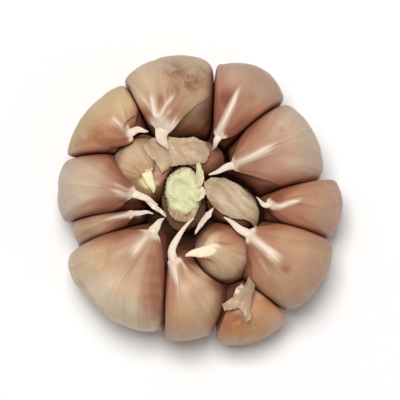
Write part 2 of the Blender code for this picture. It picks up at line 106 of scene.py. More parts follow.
def closedGrid(name, grid, marks=None):
    # A tube of rings whose two ends are closed by a point. u runs round it and v along it.
    # Corner times cross product of the diagonals, summed over the quads, is six times the
    # volume: where it is below 0 the faces would look inward, and the rings are turned round.
    rows, columns = grid.shape[:2]
    corners = grid - grid.mean(axis=(0, 1))
    following = np.roll(corners, -1, axis=1)
    crossed = np.cross(following[1:] - corners[:-1], corners[1:] - following[:-1])
    if (corners[:-1] * crossed).sum() < 0:
        grid = grid[:, ::-1]
        marks = {mark: values[:, ::-1] for mark, values in (marks or {}).items()}
    ends = np.array([grid[0].mean(axis=0), grid[-1].mean(axis=0)])
    points = np.vstack([grid.reshape(-1, 3), ends]) * mm
    first, after = np.arange(columns), np.roll(np.arange(columns), -1)
    rowStart = np.arange(rows - 1)[:, None] * columns
    low, beside = rowStart + first, rowStart + after
    quads = np.stack([low, beside, beside + columns, low + columns], axis=-1).reshape(-1, 4)
    top = (rows - 1) * columns
    startFan = np.stack([after, first, np.full(columns, rows * columns)], axis=-1)
    endFan = np.stack([top + first, top + after, np.full(columns, rows * columns + 1)], axis=-1)
    loops = np.concatenate([quads.ravel(), startFan.ravel(), endFan.ravel()])
    sizes = np.concatenate([np.full(len(quads), 4), np.full(2 * columns, 3)])
    loopStarts = np.concatenate([[0], np.cumsum(sizes)[:-1]])

    mesh = bpy.data.meshes.new(name)
    mesh.vertices.add(len(points))
    mesh.vertices.foreach_set("co", points.ravel())
    mesh.loops.add(len(loops))
    mesh.loops.foreach_set("vertex_index", loops.astype(np.int32))
    mesh.polygons.add(len(sizes))
    mesh.polygons.foreach_set("loop_start", loopStarts.astype(np.int32))
    mesh.update(calc_edges=True)

    u0 = np.tile(np.arange(columns) / columns, rows - 1)
    u1 = u0 + 1 / columns
    v0 = np.repeat(np.arange(rows - 1) / (rows - 1), columns)
    v1 = v0 + 1 / (rows - 1)
    quadUv = np.stack([u0, v0, u1, v0, u1, v1, u0, v1], axis=-1).ravel()
    f0, f1 = first / columns, (first + 1) / columns
    none, full = np.zeros(columns), np.ones(columns)
    startUv = np.stack([f1, none, f0, none, (f0 + f1) / 2, none], axis=-1).ravel()
    endUv = np.stack([f0, full, f1, full, (f0 + f1) / 2, full], axis=-1).ravel()
    mesh.uv_layers.new(name="skinUv").data.foreach_set("uv", np.concatenate([quadUv, startUv, endUv]))
    for mark, values in (marks or {}).items():
        flat = np.concatenate([values.ravel(), [values[0].mean(), values[-1].mean()]])
        mesh.attributes.new(mark, "FLOAT", "POINT").data.foreach_set("value", flat)
    mesh.polygons.foreach_set("use_smooth", np.ones(len(sizes), bool))
    mesh.validate()
    return mesh


def place(name, mesh, material, stands=None):
    piece = bpy.data.objects.new(name, mesh)
    scene.collection.objects.link(piece)
    mesh.materials.append(material)
    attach(piece, "root")
    if stands:
        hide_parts(stands)
    return piece


# Shader expressions

class Flow:
    # a socket whose sums, differences and products add Math nodes
    def __init__(self, recipe, socket):
        self.recipe = recipe
        self.socket = socket

    def math(self, operation, first, second):
        return self.recipe.node("ShaderNodeMath", {"operation": operation}, {0: first, 1: second})

    def __add__(self, other):
        return self.math("ADD", self, other)

    def __sub__(self, other):
        return self.math("SUBTRACT", self, other)

    def __rsub__(self, other):
        return self.math("SUBTRACT", other, self)

    def __mul__(self, other):
        return self.math("MULTIPLY", self, other)

    __radd__ = __add__
    __rmul__ = __mul__


class Recipe:
    def __init__(self, name):
        self.material = bpy.data.materials.new(name)
        self.material.use_nodes = True
        self.tree = self.material.node_tree
        self.shader = self.tree.nodes["Principled BSDF"]

    def node(self, kind, settings=None, inputs=None, output=0):
        # settings come first, because an operation or a data type changes the sockets
        made = self.tree.nodes.new(kind)
        for key, value in (settings or {}).items():
            setattr(made, key, value)
        self.feed(made, inputs or {})
        return Flow(self, made.outputs[output])

    def feed(self, made, inputs):
        for key, value in inputs.items():
            socket = made.inputs[key]
            if isinstance(value, Flow):
                self.tree.links.new(value.socket, socket)
            elif isinstance(value, tuple) and len(value) == 3 and socket.type == "RGBA":
                socket.default_value = (*value, 1)
            else:
                socket.default_value = value

    def mix(self, share, first, second):
        kinds = {"data_type": "RGBA", "clamp_factor": True}
        return self.node("ShaderNodeMix", kinds, {0: share, 6: first, 7: second}, output=2)

    def mark(self, name):
        return self.node("ShaderNodeAttribute", {"attribute_name": name}, output=2)

    def noise(self, vector, scale, detailLevel=2.0, rough=0.5, distortion=0.0):
        values = {"Vector": vector, "Scale": scale, "Detail": detailLevel,
                  "Roughness": rough, "Distortion": distortion}
        return self.node("ShaderNodeTexNoise", {}, values)

    def steps(self, value, start, end):
        # 0 up to start, 1 from end on
        limits = {"Value": value, "From Min": start, "From Max": end}
        return self.node("ShaderNodeMapRange", {"clamp": True, "interpolation_type": "SMOOTHSTEP"}, limits)

    def patches(self, vector, scale, start, end, detailLevel=3.0, rough=0.6, distortion=0.0):
        return self.steps(self.noise(vector, scale, detailLevel, rough, distortion), start, end)

    def along(self, roundScale, lengthScale):
        # the skin's own coordinates, stretched so that noise on them runs along the piece
        uv = self.node("ShaderNodeUVMap", {"uv_map": "skinUv"})
        return self.node("ShaderNodeMapping", {}, {"Vector": uv, "Scale": (roundScale, lengthScale, 1.0)})

    def objectPlace(self):
        return self.node("ShaderNodeTexCoord", output=3)

    def finish(self, colour, rough, height=None, depth=0.2, strength=0.5, soft=(), gloss=0.5):
        # height bumps the surface, up to depth millimetres. soft is the share of light that goes
        # under the surface, its reach in red, green and blue, and the scale of that reach.
        inputs = {"Base Color": colour, "Roughness": rough, "Specular IOR Level": gloss}
        inputs.update(zip(("Subsurface Weight", "Subsurface Radius", "Subsurface Scale"), soft))
        if height is not None:
            values = {"Height": height, "Distance": depth * mm, "Strength": strength}
            inputs["Normal"] = self.node("ShaderNodeBump", {}, values)
        self.feed(self.shader, inputs)
        return self.material


def tone(red, green, blue):
    # screen colour, 0 to 255, as the linear colour that a shader takes
    values = np.array([red, green, blue]) / 255
    curved = ((values + 0.055) / 1.055) ** 2.4
    return tuple(float(v) for v in np.where(values > 0.04045, curved, values / 12.92))


# Tones of the skin, for the cloves that name none of their own
skinTones = {
    "paper": (236, 216, 196),
    # the bloom tone is the skin's pale veil and also a painted highlight where the crests face the light
    "bloomAndSheen": (220, 198, 170),
    "vein": (150, 100, 74),
    # the blush tone also paints the shade between the cloves and towards the stalk
    "blushAndShade": (168, 112, 86),
    # the darkest maroon, painted shade in the creases where the cloves touch
    "deep": (126, 70, 50),
    "stainTone": (140, 94, 52),
    "fleck": (140, 98, 66),
}


def skinMaterial(name, look):
    # Papery skin: two tones in soft patches, fine veins from base to tip, a pale bloom and a painted
    # highlight on the crests, a pink to maroon blush with painted shade towards the neighbours and the
    # stalk, brown stains and near-white folds.
    skin = Recipe(name)
    main, second, streak = (tone(*colour) for colour in look["tones"])
    tones = {part: tone(*look.get(part, colour)) for part, colour in skinTones.items()}
    here = skin.objectPlace()
    patches = skin.patches(here, 120.0, 0.36, 0.64)
    colour = skin.mix(patches, main, second)
    streaks = skin.patches(skin.along(13.0, 1.3), 1.0, 0.44, 0.7, distortion=0.4)
    colour = skin.mix(streaks * 0.45, colour, streak)
    veins = skin.patches(skin.along(70.0, 2.4), 1.0, 0.52, 0.68, 2.0, 0.5, 0.2)
    colour = skin.mix(veins * 0.2, colour, tones["vein"])
    flecks = skin.patches(here, 340.0, 0.6, 0.74, 4.0, 0.65)
    colour = skin.mix(flecks * 0.22, colour, tones["fleck"])
    # this mix paints a highlight on the crests into the pale bloom
    bloomAndSheen = skin.mark("bloomAndSheen") * (patches * 0.3 + 0.5)
    colour = skin.mix(bloomAndSheen, colour, tones["bloomAndSheen"])
    stain = skin.mark("stain") * (skin.patches(here, 460.0, 0.36, 0.6, 4.0, 0.7) * 0.7 + 0.4)
    colour = skin.mix(stain, colour, tones["stainTone"])
    # this mix paints the shade between the cloves and towards the stalk into the pink to maroon blush
    blushAndShade = skin.mark("blushAndShade")
    colour = skin.mix(skin.steps(blushAndShade + streaks * 0.1, 0.06, 0.7) * 0.9, colour, tones["blushAndShade"])
    # the deepest painted shade, where a clove nearly touches its neighbour
    colour = skin.mix(skin.steps(blushAndShade + patches * 0.08, 0.52, 1.0) * 0.85, colour, tones["deep"])
    paper = skin.mark("paper")
    paperNow = skin.steps(paper + streaks * 0.16 - veins * 0.16, 0.12, 0.95)
    colour = skin.mix(paperNow * 0.94, colour, tones["paper"])
    crinkle = skin.noise(here, 900.0, 3.0, 0.6)
    rough = 0.4 + crinkle * 0.14 + paper * 0.14
    height = veins * -0.3 + streaks * 0.4 + crinkle * 0.3
    return skin.finish(colour, rough, height, 0.16, 0.55, (0.12, (1.0, 0.5, 0.3), 1.4 * mm), 0.4)


# Contact between the pieces

contact = {
    "gap": 0.08,  # clear space between two pieces
    "sharpness": 11.0,  # how tightly an edge turns into its pressed side
    "longest": 1.6,  # how far outside its own surface a clove looks for a neighbour
    "seamHeight": 22.0,  # above this a seam lies where it is seen from above
    "halvings": 18,  # of the length in which a neighbour is looked for
}

# Neighbours meet on the upright plane between two plan points. The clove named first lies
# to its right, and the last number is the azimuth along which they meet at the very bottom.
seams = [
    ("clove_outer_02", "clove_outer_01", (4.6, 10.4), (5.0, 27.6), 80),
    ("clove_outer_03", "clove_outer_02", (7.4, 9.5), (19.4, 19.7), 46),
    ("clove_outer_04", "clove_outer_03", (15.3, -0.3), (28.7, 3.4), 8),
    ("clove_outer_05", "clove_outer_04", (14.3, -5.4), (29.2, -9.1), -18),
    ("clove_outer_06", "clove_outer_05", (12.5, -18.9), (20.8, -25.4), -53),
    ("clove_outer_07", "clove_outer_06", (8.3, -21.6), (4.6, -30.0), -79),
    ("clove_outer_07", "clove_outer_05", (4.0, -7.0), (10.3, -17.1), -66),
    ("clove_outer_08", "clove_outer_07", (-4.7, -13.3), (-5.4, -28.1), -105),
    ("clove_outer_09", "clove_outer_08", (-7.5, -4.9), (-22.8, -10.5), -154),
    ("clove_outer_10", "clove_outer_09", (-8.9, -3.1), (-25.1, -5.4), -168),
    ("clove_outer_11", "clove_outer_10", (-16.3, 8.1), (-24.2, 7.8), 159),
    ("clove_outer_01", "clove_outer_11", (-8.0, 12.2), (-13.5, 22.9), 123.5),
    ("clove_inner_02", "clove_inner_01", (-2.4, 3.0), (-5.6, 11.0), 118),
    ("clove_inner_03", "clove_inner_02", (2.4, 2.6), (9.0, 5.6), 35),
    ("clove_inner_04", "clove_inner_03", (2.0, -4.6), (14.0, -8.6), -38),
]

# The lengths, angles and shares that every clove has in common
cloveForm = {
    "rows": 156, "tailRows": 36, "columns": 136,
    "low": 7.6,  # an outer clove's inner side at its foot, from the middle of the bulb
    "squareness": 0.96,  # of the side outline: 1 is an ellipse and less is fuller
    "heelSquareness": 0.5,  # the same where an outer clove meets the root plate
    "fullness": 0.66,  # how long a clove stays broad towards its ends
    "roundness": 0.94,
    "ridge": 0.6,  # how much leaner the sections get between the widest line and the crest
    "wedge": 0.12,  # how much broader the sections are on their outer side
    "narrowing": 0.3,
    # places along a clove, from 0 at its base to 1 at its tip
    "firstRing": 0.03, "narrowFrom": 0.76, "pullFrom": 0.74, "turnFrom": 0.8, "turnTo": 1.04,
    "swingFrom": 0.9, "gatherFrom": 0.7, "gatherTo": 1.04, "tailFrom": 0.86,
    "baseAngle": math.radians(-133), "tipAngle": math.radians(127),
    "tailTaper": 0.84, "tailFlatness": 0.5, "tailThinnest": 0.13, "tailWave": 0.2,
    "bendShare": 0.4,  # least length of the tail's first leg, over the straight way to its end
    "crowding": 0.2,  # of the columns, on the side that is seen
    "fullGirth": 3.0,  # mean radius from which a ring has its full relief
    "pressedEdge": 1.4,  # how far from a neighbour the relief sets in
    "lumpSize": 15.0, "lump": 0.3, "bumpSize": 5.0, "bump": 0.1, "sunk": 0.35,
    "rib": 0.03, "gather": 0.12,  # height of the ribs, and more where they meet at the tip
    "paleReach": 1.4, "innerPaleReach": 0.5,  # how far the pale twist of the tail goes down
    "innerShare": 0.7,  # of the rows and columns, for the smaller inner cloves
}
ringPower = 2 / cloveForm["roundness"]

stalkForm = {
    "centre": (-1.4, -0.5), "half": (3.8, 5.6), "fibres": 0.05,
    # shares of the half sizes and heights, up the side and in over the cut top
    "side": [(0.85, 4.6), (1.08, 10.0), (1.26, 17.0), (1.24, 22.5), (1.04, 26.0), (1.0, 29.2)],
    "cut": [(0.93, 30.0), (0.78, 30.4), (0.4, 29.9), (0.02, 29.6)],
}

# radii and heights of the root plate's side
plateForm = {
    "foot": 5.6, "under": [(6.8, 0.6), (8.4, 1.5)],
    "top": [(9.7, 2.4), (8.6, 3.2), (5.8, 3.8), (2.4, 4.1)],
}

# Outer cloves stand in an upright plane through the origin, at an azimuth from +X. strands
# are the folds and keels of skin seen on top: plan points, half widths, height and paleness.
# dimples, stains and tints are soft spots: x, y, radius and amount. A tint above 0 is pale bloom
# with a painted highlight, and below 0 blush with painted shade. tones are the skin's two tones and its
# streaks.
outerCloves = {
    "clove_outer_01": dict(
        azimuth=99, reach=29.9, crest=22.4, high=11.0, bottom=2.2, belly=14.5, top=35.8,
        half=11.7, lean=2.6, pull=2.6, tail=((-5.9, 11.6, 32.4), (-4.6, 8.6, 31.0)), tailHalf=1.5,
        strands=[([(-7.4, 16.6), (-6.6, 14.4), (-5.5, 11.4)], [1.0, 1.5, 1.35], 0.5, 0.95),
                 ([(-11.4, 20.2), (-9.0, 17.6), (-7.2, 15.2)], [0.2, 0.5, 0.7], 0.5, 0.6),
                 ([(-8.6, 20.8), (-7.8, 17.6), (-6.9, 14.9)], [0.2, 0.42, 0.6], 0.55, 0.8),
                 ([(-2.0, 20.4), (-4.4, 17.6), (-6.2, 14.6)], [0.2, 0.45, 0.6], 0.5, 0.7),
                 ([(-2.6, 16.9), (-4.4, 15.4), (-5.6, 13.8)], [0.2, 0.4, 0.5], 0.35, 0.5)],
        dimples=[(-6.3, 18.4, 1.2, 0.5), (-4.6, 16.4, 0.6, 0.3)],
        stains=[(-2.6, 24.6, 3.2, 0.8), (0.4, 22.4, 2.8, 0.9), (-2.6, 20.6, 2.0, 0.7),
                (-6.2, 18.2, 1.1, 0.7), (2.6, 25.4, 2.4, 0.5)],
        tints=[(-9.4, 22.6, 4.0, 0.5), (-11.6, 18.4, 3.0, 0.6), (2.8, 18.8, 4.0, 0.5),
               (2.6, 13.2, 2.4, 0.5)],
        tones=((200, 175, 143), (194, 162, 118), (182, 145, 110)), stainTone=(120, 78, 38), seed=11),
    "clove_outer_02": dict(
        azimuth=62.5, reach=30.6, crest=22.4, high=9.8, bottom=2.4, belly=15.5, top=34.2,
        half=9.9, pull=2.6, tail=((5.6, 10.6, 32.2), (4.5, 8.6, 30.0)), tailHalf=0.75,
        strands=[([(11.0, 22.8), (9.5, 20.0), (8.6, 17.6), (7.2, 14.6), (6.0, 12.2)],
                  [0.15, 0.4, 0.6, 0.6, 0.65], 0.6, 1.0)],
        stains=[(12.4, 21.4, 2.4, 0.15)],
        tints=[(7.2, 18.6, 3.4, -0.95), (12.6, 18.6, 2.2, -0.4), (6.6, 14.6, 2.4, -0.7)],
        tones=((184, 150, 124), (176, 134, 106), (172, 128, 104)), seed=12),
    "clove_outer_03": dict(
        azimuth=27, reach=29.2, crest=21.6, high=8.2, bottom=2.2, belly=15.0, top=35.4,
        half=11.3, pull=3.4, tail=((7.4, 4.9, 31.6), (3.9, 3.2, 30.9)), tailHalf=0.8,
        strands=[([(19.0, 10.5), (16.9, 9.0), (13.4, 7.1), (8.7, 5.1)],
                  [0.5, 1.15, 0.85, 0.75], 0.55, 0.9)],
        stains=[(18.6, 12.4, 1.0, 0.35)],
        tints=[(13.6, 5.4, 3.0, -0.6), (10.0, 8.0, 2.6, -0.55), (14.6, 12.6, 2.6, -0.45),
               (23.6, 12.6, 4.0, 0.35)],
        tones=((196, 168, 144), (194, 162, 134), (180, 140, 114)), seed=13),
    "clove_outer_04": dict(
        azimuth=-5, reach=31.8, crest=24.2, high=13.6, bottom=2.6, belly=14.0, top=32.4,
        half=8.8, pull=2.4, tail=((15.8, -2.8, 30.6), (13.4, -1.3, 30.4)), tailHalf=0.65,
        strands=[([(24.0, -1.0), (21.6, -2.2), (18.4, -3.3), (15.8, -2.8)],
                  [0.2, 0.45, 0.5, 0.55], 0.55, 1.0)],
        stains=[(17.4, -0.8, 2.0, 0.8), (25.0, 0.4, 2.4, 0.35), (19.0, -4.6, 2.0, 0.3),
                (22.0, -6.0, 2.4, 0.35)],
        tints=[(17.6, -0.9, 3.0, -1.0), (19.6, -4.6, 2.4, -0.5), (22.0, 0.8, 2.2, -0.4)],
        tones=((184, 138, 102), (188, 140, 108), (172, 118, 92)), stainTone=(150, 92, 58), seed=14),
    "clove_outer_05": dict(
        azimuth=-35, reach=33.0, crest=24.8, high=12.8, bottom=2.2, belly=15.0, top=34.8,
        half=11.3, pull=3.0, tail=((10.4, -8.1, 33.4), (6.9, -5.4, 31.9)), tailHalf=0.9,
        strands=[([(20.0, -15.8), (17.6, -14.0), (14.8, -11.7), (11.7, -8.9)],
                  [0.4, 1.0, 0.9, 0.8], 0.55, 0.95),
                 ([(17.0, -19.0), (15.4, -16.8), (14.0, -14.6)], [0.15, 0.4, 0.4], 0.35, 0.3),
                 ([(19.6, -18.4), (17.6, -16.2), (15.6, -13.8)], [0.15, 0.4, 0.4], 0.35, 0.25)],
        dimples=[(19.4, -16.8, 0.8, 0.35), (15.4, -17.2, 0.6, 0.25)],
        stains=[(19.3, -16.7, 1.1, 0.7), (22.8, -24.0, 2.8, 0.5), (13.8, -19.4, 2.0, 0.45)],
        tints=[(19.0, -10.2, 2.8, 0.4), (16.4, -19.4, 2.8, -0.35)],
        tones=((188, 146, 106), (180, 134, 94), (168, 116, 90)), seed=15),
    "clove_outer_06": dict(
        azimuth=-63, reach=33.4, crest=26.4, low=12.6, high=20.6, bottom=2.4, belly=12.0, top=25.8,
        half=9.8, pull=1.2, tail=((10.4, -19.4, 25.6), (10.6, -18.8, 26.0)), tailHalf=0.8,
        strands=[([(7.4, -26.2), (8.2, -25.0), (9.8, -24.8), (11.0, -25.8), (10.8, -27.4)],
                  [0.35, 0.4, 0.4, 0.35, 0.25], 0.4, 0.1)],
        dimples=[(9.6, -26.6, 1.3, 0.9)],
        stains=[(9.5, -26.7, 1.9, 1.0), (8.0, -27.6, 2.4, 0.6), (12.6, -28.6, 3.0, 0.3)],
        tints=[(17.4, -26.0, 3.2, 0.4)],
        tones=((196, 150, 100), (184, 122, 64), (170, 114, 70)), stainTone=(158, 92, 40), seed=16),
    "clove_outer_07": dict(
        azimuth=-93, reach=30.5, crest=22.6, high=12.4, bottom=2.2, belly=15.0, top=33.8,
        half=9.6, lean=-1.8, pull=2.6, tail=((-4.6, -11.2, 32.8), (0.8, -5.7, 31.2)), tailHalf=0.85,
        strands=[([(-1.8, -21.0), (-2.6, -18.4), (-3.4, -15.4), (-3.6, -12.6)],
                  [0.3, 0.8, 0.9, 0.8], 0.6, 0.95),
                 ([(0.6, -17.4), (-1.4, -14.8), (-2.8, -12.6)], [0.15, 0.4, 0.6], 0.4, 0.5)],
        stains=[(0.6, -26.8, 3.4, 0.3)],
        tints=[(2.0, -17.0, 2.8, 1.0), (-1.0, -19.8, 2.4, 0.7)],
        tones=((192, 152, 118), (186, 150, 106), (180, 130, 100)), stainTone=(190, 140, 84),
        bloomAndSheen=(236, 206, 180), seed=17),
    "clove_outer_08": dict(
        azimuth=-128, reach=30.9, crest=23.0, high=9.0, bottom=2.1, belly=15.5, top=36.2,
        half=13.8, pull=3.2, tail=((-7.4, -8.0, 32.6), (-5.3, -5.6, 31.0)), tailHalf=1.05,
        strands=[([(-13.4, -14.4), (-11.2, -12.4), (-9.2, -10.0), (-7.4, -8.0)],
                  [0.7, 1.3, 1.1, 1.0], 0.55, 0.7),
                 ([(-18.0, -12.6), (-15.0, -12.8), (-12.6, -11.6)], [0.5, 0.8, 0.6], 0.25, 0.3)],
        stains=[(-17.6, -13.6, 3.0, 0.6), (-20.4, -16.4, 2.6, 0.35)],
        tints=[(-6.8, -26.4, 3.2, -0.55), (-6.8, -24.0, 3.4, -0.65), (-6.9, -21.6, 3.5, -0.7),
               (-6.9, -19.2, 3.5, -0.75), (-6.9, -16.8, 3.3, -0.75), (-7.0, -14.4, 3.1, -0.75),
               (-20.0, -21.4, 5.5, 1.0)],
        tones=((214, 194, 162), (202, 170, 132), (190, 148, 118)), stainTone=(184, 136, 74),
        bloomAndSheen=(236, 214, 184), seed=18),
    "clove_outer_09": dict(
        azimuth=-161.5, reach=26.4, crest=19.4, low=8.6, high=11.2, bottom=3.6, belly=14.0, top=29.6,
        half=5.1, pull=2.2, tail=((-9.6, -4.2, 29.4), (-7.6, -4.3, 28.6)), tailHalf=0.6,
        strands=[([(-20.0, -6.8), (-17.0, -5.8), (-13.4, -4.9), (-10.4, -4.1)],
                  [0.2, 0.45, 0.5, 0.5], 0.4, 0.95)],
        tints=[(-18.6, -6.6, 3.2, 0.6)],
        tones=((200, 168, 134), (192, 152, 114), (178, 130, 96)), seed=19),
    "clove_outer_10": dict(
        azimuth=177, reach=28.3, crest=21.4, high=9.6, bottom=2.2, belly=15.0, top=34.4,
        half=10.1, pull=3.0, tail=((-9.0, -1.6, 32.0), (-6.6, -2.6, 30.6)), tailHalf=0.8,
        strands=[([(-17.6, 0.2), (-14.6, -0.6), (-12.2, -1.3), (-10.4, -1.0)],
                  [0.3, 0.8, 0.8, 0.75], 0.4, 0.6),
                 ([(-16.6, 2.4), (-14.2, 1.0), (-12.0, -0.2)], [0.2, 0.5, 0.5], 0.3, 0.45)],
        tints=[(-19.2, 5.6, 2.4, -0.3), (-21.4, 1.6, 4.0, 0.4)],
        tones=((206, 190, 166), (198, 172, 144), (190, 152, 130)), seed=20),
    "clove_outer_11": dict(
        azimuth=141, reach=28.3, crest=22.4, low=11.6, high=14.4, bottom=2.3, belly=14.5, top=33.4,
        half=12.0, pull=1.8, tail=((-10.6, 13.0, 32.0), (-8.6, 12.2, 31.6)), tailHalf=0.85,
        strands=[([(-17.4, 15.8), (-15.2, 14.4), (-12.6, 12.2)], [0.3, 0.7, 0.8], 0.35, 0.6),
                 ([(-14.2, 18.6), (-13.6, 15.8), (-12.6, 12.8)], [0.2, 0.4, 0.7], 0.08, 0.45)],
        stains=[(-18.6, 10.4, 3.6, 0.85), (-22.6, 9.6, 2.6, 0.6), (-13.8, 11.8, 2.2, 0.7)],
        tints=[(-15.2, 17.6, 4.0, 0.4), (-12.8, 19.4, 3.0, 0.7)],
        tones=((204, 174, 124), (196, 160, 104), (188, 144, 100)), stainTone=(150, 92, 42), seed=21),
}

# Inner cloves stand round an upright axis of their own, at foot. blunt is the squareness
# of their upper half.
innerCloves = {
    "clove_inner_01": dict(
        foot=(-9.4, 5.4), azimuth=150, reach=7.7, bottom=4.4, top=31.6, half=6.9, blunt=0.72, pull=1.8,
        tail=((-8.0, 1.4, 31.8), (-7.4, -0.2, 30.8)), tailHalf=1.1,
        strands=[([(-10.4, 3.6), (-9.0, 2.0), (-8.2, 1.0)], [0.6, 1.1, 1.2], 0.3, 0.9),
                 ([(-12.6, 7.4), (-10.6, 4.8), (-9.0, 2.6)], [0.2, 0.5, 0.6], 0.25, 0.2)],
        stains=[(-9.4, 4.4, 2.0, 0.7)],
        tints=[(-6.2, 8.2, 3.4, 0.6), (-12.4, 8.6, 2.8, 0.6)],
        tones=((208, 178, 144), (196, 160, 124), (180, 138, 108)), stainTone=(186, 128, 76),
        paper=(238, 230, 180), seed=31),
    "clove_inner_02": dict(
        foot=(0.9, 7.5), azimuth=83, reach=4.5, bottom=4.4, top=30.0, half=6.8, blunt=0.72, pull=0.1,
        tail=((0.8, 7.4, 30.2), (0.7, 7.3, 30.3)), tailHalf=0.4, sink=0.3,
        strands=[([(-1.6, 10.0), (-1.4, 8.0), (-1.2, 6.6)], [0.2, 0.6, 0.8], 0.25, 0.2)],
        tints=[(4.4, 7.6, 2.6, -0.75), (-2.6, 8.0, 2.6, 0.5)],
        tones=((192, 164, 138), (180, 148, 120), (166, 130, 102)), paper=(206, 184, 154), seed=32),
    "clove_inner_03": dict(
        foot=(8.7, -2.1), azimuth=-38, reach=6.9, bottom=5.0, top=31.0, half=5.0, blunt=0.55, pull=0.1,
        tail=((8.6, -2.0, 31.2), (8.5, -1.9, 31.3)), tailHalf=0.4, sink=0.8,
        tones=((204, 180, 150), (194, 166, 134), (176, 142, 110)), paper=(214, 192, 160), seed=33),
    "clove_inner_04": dict(
        foot=(7.2, -11.6), azimuth=-58, reach=6.7, bottom=5.0, top=32.6, half=6.6, blunt=0.84, pull=3.4,
        tail=((1.8, -12.6, 32.8), (-0.9, -13.2, 32.2)), tailHalf=1.25,
        strands=[([(6.4, -11.6), (4.2, -12.0), (2.2, -12.3), (0.4, -12.6)],
                  [0.3, 0.8, 1.1, 1.0], 0.3, 0.95)],
        stains=[(5.6, -6.6, 1.5, 0.5)],
        tints=[(9.6, -14.6, 2.6, -0.3), (3.4, -12.4, 2.8, 0.9)],
        tones=((206, 178, 144), (200, 168, 130), (188, 148, 112)), stainTone=(190, 140, 76),
        paper=(250, 228, 198), seed=34),
}


def rightOfSeam(points, start, end, bottom):
    # signed distance from the plane through start and end, which turns to a radial plane below
    x, y = points[..., 0], points[..., 1]
    risen = ease(points[..., 2] / contact["seamHeight"])
    reach, bottom = math.hypot(*end), math.radians(bottom)
    x0, y0 = start[0] * risen, start[1] * risen
    x1 = reach * math.cos(bottom) * (1 - risen) + end[0] * risen
    y1 = reach * math.sin(bottom) * (1 - risen) + end[1] * risen
    return ((y1 - y0) * (x - x0) - (x1 - x0) * (y - y0)) / np.hypot(x1 - x0, y1 - y0)


def middleAndHalf(clove):
    return (clove["top"] + clove["bottom"]) / 2, (clove["top"] - clove["bottom"]) / 2


def eggRing(inner, points, grown=1.0):
    # across^n + sideways^n of an inner clove in plan, 1 on its widest line
    turn = math.radians(inner["azimuth"])
    x, y = points[..., 0] - inner["foot"][0], points[..., 1] - inner["foot"][1]
    across = np.abs(x * math.cos(turn) + y * math.sin(turn)) / (inner["reach"] * grown)
    sideways = np.abs(y * math.cos(turn) - x * math.sin(turn)) / (inner["half"] * grown)
    return across**ringPower + sideways**ringPower


def outsideEgg(points, inner):
    # superellipsoid size less one, times its smallest half size
    middle, half = middleAndHalf(inner)
    z = points[..., 2] - middle
    side = 2 / np.where(z > 0, inner["blunt"], cloveForm["squareness"])
    size = (eggRing(inner, points) ** (side / ringPower) + (np.abs(z) / half) ** side) ** (1 / side)
    return (size - 1) * min(inner["reach"], inner["half"])


def outsideStalk(points):
    # distance outside an upright ellipse whose size follows the stalk's side
    shares, heights = zip(*stalkForm["side"])
    grown = np.interp(points[..., 2], heights, shares) + stalkForm["fibres"]
    x = (points[..., 0] - stalkForm["centre"][0]) / (stalkForm["half"][0] * grown)
    y = (points[..., 1] - stalkForm["centre"][1]) / (stalkForm["half"][1] * grown)
    return (np.hypot(x, y) - 1) * stalkForm["half"][0] * grown


def outsidePlate(points):
    # beside the plate's rim or above its dome, whichever is more
    radii, heights = zip(*reversed(plateForm["top"]))
    radius = np.hypot(points[..., 0], points[..., 1])
    above = points[..., 2] - np.interp(radius, radii, heights)
    return np.maximum(radius - plateForm["top"][0][0], above)


def roomRound(name, points):
    # least distance to everything that presses on the clove
    gap = contact["gap"]
    limits = [outsidePlate(points) - gap, outsideStalk(points) - gap]
    for right, left, *line in seams:
        if name == right:
            limits.append(rightOfSeam(points, *line) - gap / 2)
        elif name == left:
            limits.append(-rightOfSeam(points, *line) - gap / 2)
    if name in outerCloves:
        limits += [outsideEgg(points, inner) - gap for inner in innerCloves.values()]
    return np.min(limits, axis=0)


def sideOutline(clove, angle):
    # a quartered superellipse in the clove's upright plane: radius and height at an angle
    across, rise = np.cos(angle), np.sin(angle)
    if "foot" in clove:
        middle, tall = middleAndHalf(clove)
        power = np.where(rise > 0, clove["blunt"], cloveForm["squareness"])
        return clove["reach"] * signedPower(across, power), middle + tall * signedPower(rise, power)
    low = clove.get("low", cloveForm["low"])
    inner = low + (clove["high"] - low) * (1 + rise) / 2
    width = np.where(across > 0, clove["reach"] - clove["crest"], clove["crest"] - inner)
    height = np.where(rise > 0, clove["top"] - clove["belly"], clove["belly"] - clove["bottom"])
    power = np.where((across < 0) & (rise < 0), cloveForm["heelSquareness"], cloveForm["squareness"])
    radius = clove["crest"] + width * signedPower(across, power)
    return radius, clove["belly"] + height * signedPower(rise, power)


def fineness(clove):
    return cloveForm["innerShare"] if "foot" in clove else 1.0


def bodySections(clove, outward, sideways):
    # centre: midway between the back and inner curves; depth: half the chord between them
    form = cloveForm
    rows = int(form["rows"] * detail * fineness(clove))
    along = form["firstRing"] + (1 - form["firstRing"]) * np.linspace(0, 1, rows)
    baseAngle, tipAngle = form["baseAngle"], form["tipAngle"]
    if "foot" in clove:
        baseAngle, tipAngle = math.radians(-90), math.radians(90)
    back = baseAngle + along * (tipAngle - baseAngle)
    front = baseAngle - along * (2 * math.pi - tipAngle + baseAngle)
    backRadius, backHeight = sideOutline(clove, back)
    frontRadius, frontHeight = sideOutline(clove, front)
    centre = np.outer((backRadius + frontRadius) / 2, outward)
    centre += np.outer(clove.get("lean", 0.0) * along**2, sideways)
    centre[:, :2] += clove.get("foot", (0.0, 0.0))
    centre[:, 2] += (backHeight + frontHeight) / 2
    depth = np.outer((backRadius - frontRadius) / 2, outward)
    depth[:, 2] += (backHeight - frontHeight) / 2
    power = form["fullness"]
    if "foot" in clove:
        power = np.where(along > 0.5, clove["blunt"], form["squareness"])
    narrow = form["narrowing"] * easeBetween(along, form["narrowFrom"]) * ("foot" not in clove)
    width = np.outer(clove["half"] * (1 - narrow) * np.sin(math.pi * along) ** power, sideways)
    drawn = easeBetween(along, form["pullFrom"]) ** 1.5
    centre += np.outer(drawn * clove["pull"], unit(np.array(clove["tail"][0]) - centre[-1]))
    return along, centre, depth, width


